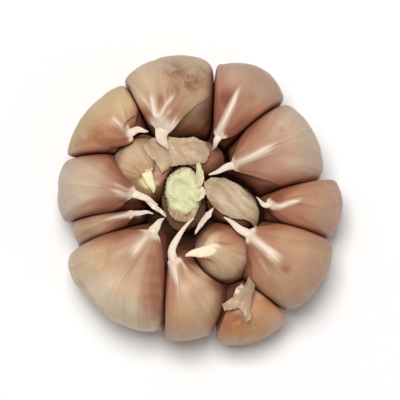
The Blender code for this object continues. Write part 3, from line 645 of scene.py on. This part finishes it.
def tailSections(clove, tip, sideways):
    # a quadratic curve from the tip, towards the bend and on to the tail's end. The bend keeps
    # some way off the tip, so that the curve leaves it without a kink.
    bend, end = np.array(clove["tail"])
    way, gap = unit(bend - tip), np.linalg.norm(bend - tip)
    bend = tip + way * max(gap, cloveForm["bendShare"] * np.linalg.norm(end - tip))
    share = np.linspace(0, 1, int(cloveForm["tailRows"] * detail * fineness(clove)) + 1)[1:]
    s = share[:, None]
    centre = tip * (1 - s) ** 2 + bend * 2 * s * (1 - s) + end * s**2
    ahead = unit(np.gradient(np.vstack([tip, centre]), axis=0)[1:])
    across = unit(np.cross(ahead, up))
    across *= np.sign(across @ sideways)[:, None]
    above = np.cross(ahead, across)
    above *= np.sign(above[:, 2])[:, None]
    return share, centre, above, across


def pressed(name, centre, spokes):
    # halve the interval in which each spoke meets a neighbour, then round the edge with a
    # soft minimum: -log(exp(-k) + exp(-k s)) / k
    short, long = np.zeros(spokes.shape[:2]), np.full(spokes.shape[:2], contact["longest"])
    for _ in range(contact["halvings"]):
        middle = (short + long) / 2
        free = roomRound(name, centre[:, None] + spokes * middle[..., None]) > 0
        short, long = np.where(free, middle, short), np.where(free, long, middle)
    k = contact["sharpness"]
    return -np.log(np.exp(-k) + np.exp(-k * short)) / k


def strandWeight(plan, points, halfWidths, sharpness):
    # exp(-(gap / width)^sharpness) from a polyline seen from above, faded in from its first point
    points = np.array(points)
    steps = np.linalg.norm(np.diff(points, axis=0), axis=1)
    run = np.concatenate([[0], np.cumsum(steps)]) / steps.sum()
    best = np.zeros(plan.shape[:-1])
    for k, step in enumerate(np.diff(points, axis=0)):
        share = np.clip((plan - points[k]) @ step / (step @ step), 0, 1)
        gap = np.linalg.norm(plan - points[k] - share[..., None] * step, axis=-1)
        width = halfWidths[k] + (halfWidths[k + 1] - halfWidths[k]) * share
        fade = ease((run[k] + (run[k + 1] - run[k]) * share) * 2.2)
        best = np.maximum(best, np.exp(-(gap / width) ** sharpness) * fade)
    return best


def roundedEnds(grid):
    # the first and last ring shrink along a quarter circle, so that the ends are domed
    rows = 5
    angle = np.linspace(0, math.pi / 2, rows + 2)[1:-1][:, None, None]
    pieces = []
    for ring, beside in ((grid[0], grid[1]), (grid[-1], grid[-2])):
        middle = ring.mean(axis=0)
        ahead = unit(middle - beside.mean(axis=0))
        dome = 0.5 * np.linalg.norm(ring - middle, axis=1).mean()
        pieces.append(middle + (ring - middle) * np.cos(angle) + ahead * dome * np.sin(angle))
    return np.concatenate([pieces[0][::-1], grid, pieces[1]]), rows


def cloveSurface(name, clove):
    turn = math.radians(clove["azimuth"])
    outward = np.array([math.cos(turn), math.sin(turn), 0.0])
    sideways = np.array([-math.sin(turn), math.cos(turn), 0.0])
    along, centre, depth, width = bodySections(clove, outward, sideways)
    share, tail, above, across = tailSections(clove, centre[-1], sideways)
    form, rows, half = cloveForm, len(along), clove["tailHalf"]

    lift = np.linalg.norm(depth, axis=1)[:, None]
    spread = np.linalg.norm(width, axis=1)[:, None]
    facing = unit(depth[:-1])
    facing = np.vstack([facing, facing[-1:]])
    turned = easeBetween(along, form["turnFrom"], form["turnTo"])[:, None]
    facing = above[0] * turned + facing * (1 - turned)
    depth = facing * np.hypot(lift, form["tailFlatness"] * half)
    swung = easeBetween(along, form["swingFrom"])[:, None]
    width = unit(across[0] * swung + sideways * (1 - swung)) * np.hypot(spread, half)
    thin = half * (1 - form["tailTaper"] * share**2)[:, None]
    wave = share * form["tailWave"] * np.sin(share * 7 + clove["seed"])
    tail = tail + across * wave[:, None] + above * (0.5 * wave * np.cos(share * 5))[:, None]
    depth = np.vstack([depth, above * np.maximum(form["tailFlatness"] * thin, form["tailThinnest"])])
    width = np.vstack([width, across * thin])
    centre = np.vstack([centre, tail])

    columns = int(form["columns"] * detail * fineness(clove))
    phi = around(columns)
    phi = phi - form["crowding"] * np.sin(phi)
    power = np.full((len(centre), 1), form["roundness"])
    flare = np.zeros((len(centre), 1))
    if "foot" not in clove:
        power[:rows, 0] += form["ridge"] * easeBetween(along, 0.5, 0.9)
        flare[:rows, 0] = form["wedge"] * (1 - easeBetween(along, 0.8, 0.94))
    out, side = signedPower(np.cos(phi), power), signedPower(np.sin(phi), power)
    side = side * (1 + flare * np.cos(phi))
    spokes = depth[:, None] * out[..., None] + width[:, None] * side[..., None]
    spokes[:rows] *= pressed(name, centre[:rows], spokes[:rows])[..., None]
    grid = centre[:, None] + spokes
    grid, extra = roundedEnds(grid)
    fromAxis = grid - grid.mean(axis=1, keepdims=True)
    ringSize = np.linalg.norm(fromAxis, axis=-1).mean(axis=1)[:, None]
    girth = ease(ringSize / form["fullGirth"])
    # 0 to 1 along the clove, 1 to 2 along its tail
    progress = np.concatenate([np.zeros(extra), along, 1 + share, np.full(extra, 2.0)])[:, None]

    # Relief: soft lumps, ribs from base to tip that gather into folds, strands and dimples
    room = roomRound(name, grid)
    free = ease(room / form["pressedEdge"])
    normals = gridNormals(grid)
    seed = clove["seed"]
    gather = easeBetween(progress, form["gatherFrom"], form["gatherTo"])
    gather = gather * (1 - easeBetween(progress, 1.0, 1.3))
    drift = phi[None, :] + 0.25 * lumps(grid, seed, 26.0)
    ribs = 0.5 * np.cos(7 * drift + seed) + 0.3 * np.cos(13 * drift + 2 * seed) + 0.2 * np.cos(22 * drift)
    tailMask = easeBetween(progress, form["tailFrom"])
    # a keel goes on over the top of its tail and sinks into it
    keel = 1 + (np.clip(normals[..., 2], 0, 1) * (1 - easeBetween(progress, 1.0, 1.4)) - 1) * tailMask
    relief = (form["lump"] * lumps(grid, seed + 100, form["lumpSize"]) - form["sunk"]) * girth
    relief -= clove.get("sink", 0.0) * (1 - tailMask)
    relief += form["bump"] * lumps(grid, seed + 200, form["bumpSize"]) * np.maximum(girth, 0.3)
    relief += ribs * (form["rib"] + form["gather"] * gather * girth) * (1 - 0.7 * tailMask)
    plan, upper = grid[..., :2], ease((grid[..., 2] - clove["top"] + 13.0) / 5.0)
    paper, stain = np.zeros(grid.shape[:2]), np.zeros(grid.shape[:2])
    for points, halfWidths, height, paleness in clove.get("strands", []):
        relief += height * strandWeight(plan, points, halfWidths, 1.3) * upper * keel
        spread = np.array(halfWidths) * 1.15 + 0.12
        paper = np.maximum(paper, paleness * strandWeight(plan, points, spread, 1.6) * upper)
    for *where, amount in clove.get("dimples", []):
        relief -= amount * spot(plan, *where) * upper
    for *where, amount in clove.get("stains", []):
        stain = np.maximum(stain, amount * spot(plan, *where) * upper)
    # near the tail the relief goes straight away from the axis, so that the skin doesn't fold
    away = unit(normals * (1 - tailMask)[..., None] + unit(fromAxis) * tailMask[..., None])
    grid = grid + away * (relief * np.maximum(free, tailMask))[..., None]

    # the skin is twisted together and pale where its rings are hardly wider than the tail
    paleReach = form["innerPaleReach"] if "foot" in clove else form["paleReach"]
    paleTip = 1 - ease((ringSize / half - 1.1 + 0.2 * ribs) / paleReach)
    paleTip = paleTip * (progress > form["gatherFrom"])
    paper = np.maximum(paper, paleTip)
    # blush, with painted shade, goes up the cloves beside a neighbour, further in towards the stalk, and at
    # the tip
    hubwardShade = 0.5 * easeBetween(progress, form["gatherFrom"], 0.92) * ("foot" not in clove)
    fromHub = np.linalg.norm(plan, axis=-1)
    inward = 1 - easeBetween(fromHub, 17.0, 26.0)
    blushAndShade = np.exp(-np.maximum(room, 0) / (1.6 + 2.2 * inward)) * (0.6 + 0.5 * inward)
    blushAndShade = np.clip(np.maximum(blushAndShade, hubwardShade), 0, 1)
    bloomAndSheen = np.zeros(grid.shape[:2])
    # the bloom along the crest line is partly a painted highlight where the crests face the light
    if "crest" in clove:
        bloomAndSheen = 0.45 * np.exp(-(((fromHub - clove["crest"]) / 4.0) ** 2)) * upper * ease(room / 4.0)
    # tints paint a highlight above 0 and shade below 0 into the bloom and blush marks
    for *where, amount in clove.get("tints", []):
        tint = np.abs(amount) * spot(plan, *where) * upper
        if amount > 0:
            bloomAndSheen, blushAndShade = np.maximum(bloomAndSheen, tint), blushAndShade * (1 - tint)
        else:
            bloomAndSheen, blushAndShade = bloomAndSheen * (1 - tint), np.maximum(blushAndShade, tint)
    marks = {"blushAndShade": blushAndShade * (1 - paleTip), "paper": paper, "stain": stain, "bloomAndSheen": bloomAndSheen}
    return closedGrid(name + "_skin", grid, marks)


for name, clove in {**outerCloves, **innerCloves}.items():
    slot = "clove_skin" if name in outerCloves else "inner_skin"
    material = skinMaterial(name.replace("clove", "skin"), clove)
    place(name + "_skin", cloveSurface(name, clove), material, name)
print("garlic: cloves made")


# Stalk

stalkLook = {
    "rows": 120, "columns": 160, "meanHalf": 4.6,
    "green": tone(200, 202, 154), "cream": tone(220, 212, 176), "fibre": tone(196, 178, 132),
    "sheath": tone(188, 158, 120), "dark": tone(120, 84, 56),
}


def stalkSurface():
    # an ellipse carried up the side profile and in over a dished top, with upright fibres
    form = stalkForm
    profile = np.array([(0.05, form["side"][0][1]), *form["side"], *form["cut"]])
    share, height = resampled(profile, stalkLook["rows"], stalkLook["meanHalf"])
    phi = around(int(stalkLook["columns"] * detail))
    ring = np.stack([form["half"][0] * np.cos(phi), form["half"][1] * np.sin(phi), 0 * phi], axis=-1)
    topSide = ease((height - 28.0) / 2.0)[:, None]
    front = ease(-(ring[:, 1] + 0.2 * ring[:, 0]) / 6.0)
    egg = 1 - 0.16 * front * topSide
    grid = (share[:, None] * egg)[..., None] * ring + np.array([*form["centre"], 0.0])
    grid[..., 2] = height[:, None] - 1.3 * topSide * share[:, None] * front
    waves = 0.6 * np.sin(5 * phi + 0.25 * height[:, None]) + 0.4 * np.sin(3 * phi - 0.2 * height[:, None])
    grid[..., :2] += share[:, None, None] * ring[:, :2] * form["fibres"] * waves[..., None]
    fibres = np.cos(37 * phi + 0.8 * lumps(grid, 3, 6.0)) * 0.07 + np.cos(61 * phi + 1.0) * 0.04
    torn = 0.34 * lumps(grid, 9, 4.4) + 0.2 * lumps(grid, 10, 1.7) + 0.09 * lumps(grid, 12, 0.8)
    relief = fibres * (1 - 0.97 * topSide) + torn * topSide * (0.5 + 0.7 * share[:, None])
    frontward = form["centre"][1] - 1.6 - grid[..., 1] - 0.3 * grid[..., 0]
    low = ease((frontward + 0.7 * lumps(grid, 14, 2.6)) / 3.0)
    grid = grid + gridNormals(grid) * relief[..., None]
    rim = ease((share[:, None] - 0.86 + 0.1 * lumps(grid, 15, 2.2)) / 0.2)
    marks = {"cut": topSide * (1 - 0.85 * low) * (1 - 0.5 * rim), "cream": topSide * rim}
    return closedGrid("stalk_fibres", grid, marks)


def stalkMaterial():
    # dry tan sheath, pale green and cream fibres at the cut and cream torn edges round it
    fibre = Recipe("stalk fibres")
    here = fibre.objectPlace()
    lines = fibre.patches(fibre.along(90.0, 3.0), 1.0, 0.4, 0.68)
    colour = fibre.mix(lines * 0.6, stalkLook["sheath"], stalkLook["dark"])
    patches = fibre.patches(here, 320.0, 0.38, 0.62)
    cut = fibre.mix(patches, stalkLook["green"], stalkLook["cream"])
    cut = fibre.mix(fibre.patches(here, 1400.0, 0.5, 0.72, rough=0.5) * 0.35, cut, stalkLook["fibre"])
    cut = fibre.mix(fibre.mark("cream") * 0.7, cut, stalkLook["cream"])
    colour = fibre.mix(fibre.steps(fibre.mark("cut") + patches * 0.2, 0.15, 0.75), colour, cut)
    height = lines * (1 - fibre.mark("cut")) * 0.6 + fibre.noise(here, 1100.0, 3.0) * 0.5
    soft = (0.15, (1.0, 0.8, 0.4), 1.5 * mm)
    return fibre.finish(colour, 0.62 + patches * 0.15, height, 0.25, 0.6, soft)


place("stalk_fibres", stalkSurface(), stalkMaterial(), "stalk")
print("garlic: stalk made")


# Root plate with its trimmed roots

plateLook = {
    "rows": 90, "columns": 220, "seed": 77,
    "roots": 84, "rootRows": 7, "rootSides": 8, "rootHeight": 2.1, "rootTaper": 0.35, "floorGap": 0.05,
    "tan": tone(176, 142, 100), "brown": tone(112, 80, 52), "pale": tone(206, 184, 146),
}


def plateSurface():
    # a turned profile, cracked by radial lines and worn by lumps, flat where it rests
    form = plateForm
    profile = np.array([(0.05, 0), (form["foot"], 0), *form["under"], *form["top"], (0.05, 4.1)])
    radius, height = resampled(profile, plateLook["rows"])
    phi = around(int(plateLook["columns"] * detail))
    grid = np.stack([radius[:, None] * np.cos(phi), radius[:, None] * np.sin(phi),
                     np.broadcast_to(height[:, None], (len(radius), len(phi)))], axis=-1)
    off = ease((height - 0.02) / 0.5)[:, None]
    cracks = np.abs(np.sin(17 * phi + lumps(grid, 8, 6.0))) ** 0.5
    relief = off * (-0.22 * (1 - cracks) + 0.25 * lumps(grid, 4, 3.0))
    return grid + gridNormals(grid) * relief[..., None]


def rootTubes():
    # short tapering tubes that leave the plate's underside outwards and down, all at once
    draw = np.random.default_rng(plateLook["seed"])
    count, rows, sides = plateLook["roots"], plateLook["rootRows"], plateLook["rootSides"]
    turn = 2 * math.pi * (np.arange(count) + draw.uniform(-0.4, 0.4, count)) / count
    start = draw.uniform(6.2, 8.9, count)
    out = start + draw.uniform(0.3, 1.7, count)
    tipHeight, radius = draw.uniform(0.3, 0.9, count), draw.uniform(0.2, 0.36, count)
    share = np.linspace(0, 1, rows)
    r = start[:, None] + (out - start)[:, None] * share
    leave = plateLook["rootHeight"]
    h = leave + (tipHeight - leave)[:, None] * share**0.8
    bent = turn[:, None] + draw.uniform(-0.12, 0.12, (count, 1)) * share**2
    centre = np.stack([r * np.cos(bent), r * np.sin(bent), h], axis=-1)
    across, above = frames(centre, 1)
    phi = np.linspace(0, 2 * math.pi, sides, endpoint=False)
    size = radius[:, None, None, None] * (1 - plateLook["rootTaper"] * share)[None, :, None, None]
    ring = across[:, :, None] * np.cos(phi)[:, None] + above[:, :, None] * np.sin(phi)[:, None]
    tubes = centre[:, :, None] + size * ring
    tubes[..., 2] = np.maximum(tubes[..., 2], plateLook["floorGap"])
    return tubes


def plateMaterial():
    # dry cork: tan and brown patches, pale root ends
    cork = Recipe("dry cork")
    here = cork.objectPlace()
    patches = cork.patches(here, 380.0, 0.36, 0.64, 4.0, 0.65)
    colour = cork.mix(patches, plateLook["tan"], plateLook["brown"])
    pale = cork.patches(here, 900.0, 0.55, 0.72)
    colour = cork.mix(pale * 0.6, colour, plateLook["pale"])
    height = cork.noise(here, 1300.0, 4.0, 0.6)
    return cork.finish(colour, 0.8 + patches * 0.1, height, 0.3, 0.7)


def joinedMesh(name, meshes):
    # every root's mesh in one, by way of objects that Blender joins
    parts = [bpy.data.objects.new(mesh.name, mesh) for mesh in meshes]
    for part in parts:
        scene.collection.objects.link(part)
    with bpy.context.temp_override(active_object=parts[0], object=parts[0], selected_objects=parts,
                                   selected_editable_objects=parts):
        bpy.ops.object.join()
    joined = parts[0].data
    bpy.data.objects.remove(parts[0])
    joined.name = name
    return joined


corkMaterial = plateMaterial()
place("plate_cork", closedGrid("plate_cork", plateSurface()), corkMaterial, "root_plate")
rootMeshes = [closedGrid(f"root_{k:02d}", tube) for k, tube in enumerate(rootTubes())]
place("trimmed_roots", joinedMesh("trimmed_roots", rootMeshes), corkMaterial, "root_plate")
print("garlic: root plate made")


# Torn paper: the scrap on the small clove and shreds round the middle

# pale, cream and tan of each kind of dry skin
paperTones = {
    "sheet": ((186, 161, 130), (168, 141, 112), (142, 110, 82)),
    "cover": ((196, 167, 136), (178, 148, 118), (156, 122, 92)),
    # the darkest kind is painted shade, for the gaps deep between the cloves
    "deep": ((92, 56, 37), (76, 45, 30), (58, 34, 23)),
    "cream": ((226, 216, 180), (208, 194, 154), (184, 160, 120)),
    "shred": ((236, 220, 202), (216, 192, 166), (188, 156, 126)),
}


def paperMaterial(name, kind, turn, rough=0.5):
    # thin dry skin: paler and darker lines that run at the azimuth turn, tan at the folds
    paper = Recipe(name)
    pale, cream, tan = (tone(*colour) for colour in paperTones[kind])
    here = paper.objectPlace()
    stretch = {"Vector": here, "Rotation": (0.0, 0.0, math.radians(turn)),
               "Scale": (0.006, 0.0011, 0.006)}
    fibres = paper.node("ShaderNodeMapping", {"vector_type": "TEXTURE"}, stretch)
    lines = paper.patches(fibres, 1.0, 0.4, 0.64)
    colour = paper.mix(lines, pale, cream)
    folds = paper.patches(here, 420.0, 0.56, 0.74)
    colour = paper.mix(folds * 0.5, colour, tan)
    height = lines * 0.6 + paper.noise(here, 1600.0, 3.0) * 0.4
    soft = (0.2, (1.0, 0.7, 0.5), 0.8 * mm)
    return paper.finish(colour, rough + lines * 0.15, height, 0.15, 0.6, soft)


sheetForm = {"rings": 22, "perSide": 12, "ragged": 0.08, "thinning": 0.7, "crinkleSize": 2.6}
baseRadius = 19.0

# Sheets of torn skin, each drawn by its outline seen from above. The scrap replaces its CAD
# node. The others lie over inner cloves and bridge the groove between them, never lower than
# least, which goes from one height at their left end to another at their right end. The last
# is old skin round the root plate, dark as painted shade, which closes the gaps between the cloves.
sheets = {
    "scrap_paper": dict(
        outline=[(11.9, -17.4), (11.0, -19.4), (9.6, -21.0), (6.4, -22.9), (7.0, -24.2), (8.6, -23.9),
                 (9.9, -23.6), (10.8, -24.6), (11.4, -26.6), (12.4, -25.9), (12.2, -23.6),
                 (12.6, -21.4), (13.2, -19.2)],
        node="skin_scrap", turn=70, thickness=0.24, crinkle=0.22, curl=0.25, seed=42),
    "flap_paper": dict(
        outline=[(2.7, 1.7), (4.3, 2.9), (7.0, 2.8), (10.2, 1.1), (12.7, -1.6), (14.1, -3.8),
                 (13.9, -5.8), (13.5, -7.6), (12.6, -6.4), (11.4, -5.9), (8.6, -5.6), (6.4, -4.6),
                 (4.2, -2.6), (3.0, -0.4)],
        over=("clove_inner_03",), least=(30.1, 27.6), lift=0.75, turn=-36, thickness=0.16, crinkle=0.16,
        curl=0.1, seed=43),
    "cover_paper": dict(
        outline=[(-9.8, 9.6), (-7.8, 11.0), (-4.8, 11.4), (-1.8, 11.0), (1.0, 11.2), (3.2, 10.0), (4.0, 7.8),
                 (3.2, 5.9), (0.4, 5.5), (-2.2, 5.4), (-4.2, 5.0), (-5.8, 3.6), (-6.9, 5.8), (-8.8, 7.4)],
        over=("clove_inner_01", "clove_inner_02"), least=(29.6, 28.9), lift=0.65, turn=-50, thickness=0.14,
        crinkle=0.16, curl=-0.3, seed=44, kind="cover"),
    "base_paper": dict(
        outline=[(baseRadius * math.cos(turn), baseRadius * math.sin(turn))
                 for turn in np.arange(0, 6.2, 0.3)],
        over=(), least=(6.8, 6.8), lift=0.0, turn=20, thickness=0.3, crinkle=0.3, curl=-0.8, seed=45,
        kind="deep", rough=0.85),
}


def cadHeight(node, plan):
    # the quadratic surface in x and y that fits a CAD node's own points best
    cad = np.empty(len(node.data.vertices) * 3, np.float32)
    node.data.vertices.foreach_get("co", cad)
    cad = cad.reshape(-1, 3) / mm
    middle = cad.mean(axis=0)

    def terms(x, y):
        return np.stack([x * 0 + 1, x, y, x * x, x * y, y * y], axis=-1)

    fit = np.linalg.lstsq(terms(*(cad - middle)[:, :2].T), cad[:, 2], rcond=None)[0]
    return terms(plan[..., 0] - middle[0], plan[..., 1] - middle[1]) @ fit


def eggHeight(inner, plan):
    # height of an inner clove's top: its superellipsoid, a little grown in plan, solved for z
    middle, half = middleAndHalf(inner)
    side = 2 / inner["blunt"]
    left = np.clip(1 - eggRing(inner, plan, 1.1) ** (side / ringPower), 0, 1)
    return middle + half * left ** (1 / side)


def sheetSurface(name, form):
    # rings that shrink from the torn outline to its middle, once below and once above
    corners = np.array([*form["outline"], form["outline"][0]])
    steps = int(sheetForm["perSide"] * detail)
    where = np.arange((len(corners) - 1) * steps) / steps
    rim = np.stack([np.interp(where, np.arange(len(corners)), corners[:, k]) for k in (0, 1)], axis=-1)
    rim = rim + sheetForm["ragged"] * np.random.default_rng(form["seed"]).normal(size=rim.shape)
    rim = (np.roll(rim, 1, axis=0) + 2 * rim + np.roll(rim, -1, axis=0)) / 4
    middle = corners[:-1].mean(axis=0)
    share = np.linspace(0.02, 1.0, int(sheetForm["rings"] * detail))
    share = np.concatenate([share, share[::-1]])
    side = np.repeat([-0.5, 0.5], len(share) // 2)
    plan = middle + (rim - middle) * share[:, None, None]
    if "node" in form:
        height = cadHeight(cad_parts[form["node"]], plan)
    else:
        tops = [eggHeight(innerCloves[clove], plan) for clove in form["over"]]
        ends = corners[:, 0].min(), corners[:, 0].max()
        height = np.max([*tops, np.interp(plan[..., 0], ends, form["least"])], axis=0) + form["lift"]
    flat = np.concatenate([plan, 0 * plan[..., :1]], axis=-1)
    height += form["crinkle"] * lumps(flat, form["seed"], sheetForm["crinkleSize"])
    height += form["curl"] * share[:, None] ** 3
    height += side[:, None] * form["thickness"] * (1 - sheetForm["thinning"] * share[:, None] ** 4)
    return closedGrid(name, np.concatenate([plan, height[..., None]], axis=-1))


for name, form in sheets.items():
    kind, rough = form.get("kind", "sheet"), form.get("rough", 0.5)
    material = paperMaterial(name.replace("_", " "), kind, form["turn"], rough)
    place(name, sheetSurface(name, form), material, form.get("node"))

# Thin shreds, each along a path of points with a half width at every point
shredForm = {"rows": 64, "columns": 40, "least": 0.05, "flatness": 0.11, "twist": 0.5, "curl": 0.35}
shreds = {
    "shred_left": dict(path=[(-5.0, -5.3, 31.4), (-5.9, -4.2, 31.9), (-7.6, -3.0, 31.9), (-9.0, -2.2, 32.4)],
                       half=[0.12, 0.4, 0.5, 0.15], seed=1, paper="pale"),
    "shred_middle": dict(path=[(1.0, -8.8, 31.4), (2.2, -6.9, 32.2), (3.5, -5.0, 32.3), (4.8, -3.4, 31.6)],
                         half=[0.12, 0.5, 0.55, 0.12], seed=2, paper="pale"),
    "shred_stalk_a": dict(path=[(1.2, 0.6, 30.2), (1.9, 2.6, 31.2), (1.7, 4.4, 31.6), (1.9, 5.8, 31.0)],
                          half=[0.5, 0.8, 0.7, 0.3], seed=5, paper="cream"),
    "shred_stalk_b": dict(path=[(1.3, -2.0, 30.4), (2.2, -0.6, 31.0), (2.4, 1.0, 31.2)],
                          half=[0.4, 0.7, 0.4], seed=6, paper="cream"),
}


def paperStrip(name, form):
    # a thin ellipse carried along a smooth path, curled up at its edges and crinkled
    path, half = np.array(form["path"]), np.array(form["half"])
    rows, columns = int(shredForm["rows"] * detail), int(shredForm["columns"] * detail)
    knots, where = np.linspace(0, 1, len(path)), np.linspace(0, 1, rows)
    power = len(path) - 1
    curve = np.stack([np.polyval(np.polyfit(knots, path[:, k], power), where) for k in range(3)], axis=-1)
    draw = np.random.default_rng(form["seed"])
    width = np.interp(where, knots, half)
    for waves, depth in ((9, 0.1), (17, 0.08), (31, 0.05)):
        width = width * (1 + depth * np.sin(where * waves + draw.uniform(0, 6)))
    width = width * np.sqrt(ease(where * 9)) * np.sqrt(ease((1 - where) * 7)) + shredForm["least"]
    across, above = frames(curve)
    twist = shredForm["twist"] * np.sin(where * 5 + draw.uniform(0, 6))[:, None]
    turned = across * np.cos(twist) + above * np.sin(twist)
    above = above * np.cos(twist) - across * np.sin(twist)
    phi = around(columns)
    x, y = np.cos(phi), shredForm["flatness"] * np.sin(phi)
    curl = shredForm["curl"] * width[:, None] * x**2 + 0.08 * np.cos(x * 7 + where[:, None] * 9)
    grid = curve[:, None] + turned[:, None] * (width[:, None] * x)[..., None]
    grid = grid + above[:, None] * (y + curl)[..., None]
    return closedGrid(name, grid)


shredPapers = {"pale": paperMaterial("pale shreds", "shred", 60),
               "cream": paperMaterial("cream shreds", "cream", 80)}
for name, form in shreds.items():
    place(name, paperStrip(name, form), shredPapers[form["paper"]])
print("garlic: paper made")


# Floor, light and camera

# lean is the camera's direction from the point that it aims at
stage = {
    "floor": 3.0, "floorTone": (0.86, 0.86, 0.86),
    "world": 0.24, "key": 12.4, "keySize": 0.34, "keyPlace": (-0.06, 0.16, 1.15),
    "fill": 1.2, "fillPlace": (0.7, -0.5, 0.9), "fillSize": 1.0,
    "aim": (0.0019, -0.0013, 0.024), "lens": 262.0, "distance": 0.6, "lean": (0.0071, -0.043, 0.6),
}


def makeFloor():
    mesh = bpy.data.meshes.new("floor")
    half = stage["floor"] / 2
    corners = [(-half, -half, 0), (half, -half, 0), (half, half, 0), (-half, half, 0)]
    mesh.from_pydata(corners, [], [(0, 1, 2, 3)])
    floor = bpy.data.objects.new("floor", mesh)
    scene.collection.objects.link(floor)
    pale = Recipe("pale floor")
    mesh.materials.append(pale.finish(stage["floorTone"], 0.9))


def aimed(name, data, position, target):
    # the object's -Z looks at the target and its +Y stays as near to +Y as it can
    away = (Vector(position) - Vector(target)).normalized()
    right = (Vector((1, 0, 0)) - away * away.x).normalized()
    thing = bpy.data.objects.new(name, data)
    turned = Matrix((right, away.cross(right), away)).transposed().to_4x4()
    thing.matrix_world = Matrix.Translation(position) @ turned
    scene.collection.objects.link(thing)
    return thing


def areaLight(name, position, power, size):
    light = bpy.data.lights.new(name, "AREA")
    light.energy = power
    light.size = size
    aimed(name, light, position, stage["aim"])


makeFloor()
areaLight("key", stage["keyPlace"], stage["key"], stage["keySize"])
areaLight("fill", stage["fillPlace"], stage["fill"], stage["fillSize"])
world = bpy.data.worlds.new("studio")
world.use_nodes = True
world.node_tree.nodes["Background"].inputs["Color"].default_value = (1, 1, 1, 1)
world.node_tree.nodes["Background"].inputs["Strength"].default_value = stage["world"]
scene.world = world
scene.view_settings.view_transform = "Standard"

camera = bpy.data.cameras.new("camera")
camera.lens = stage["lens"]
camera.sensor_width = 36
toCamera = Vector(stage["lean"]).normalized() * stage["distance"]
scene.camera = aimed("camera", camera, Vector(stage["aim"]) + toCamera, stage["aim"])
print("garlic: stage set")
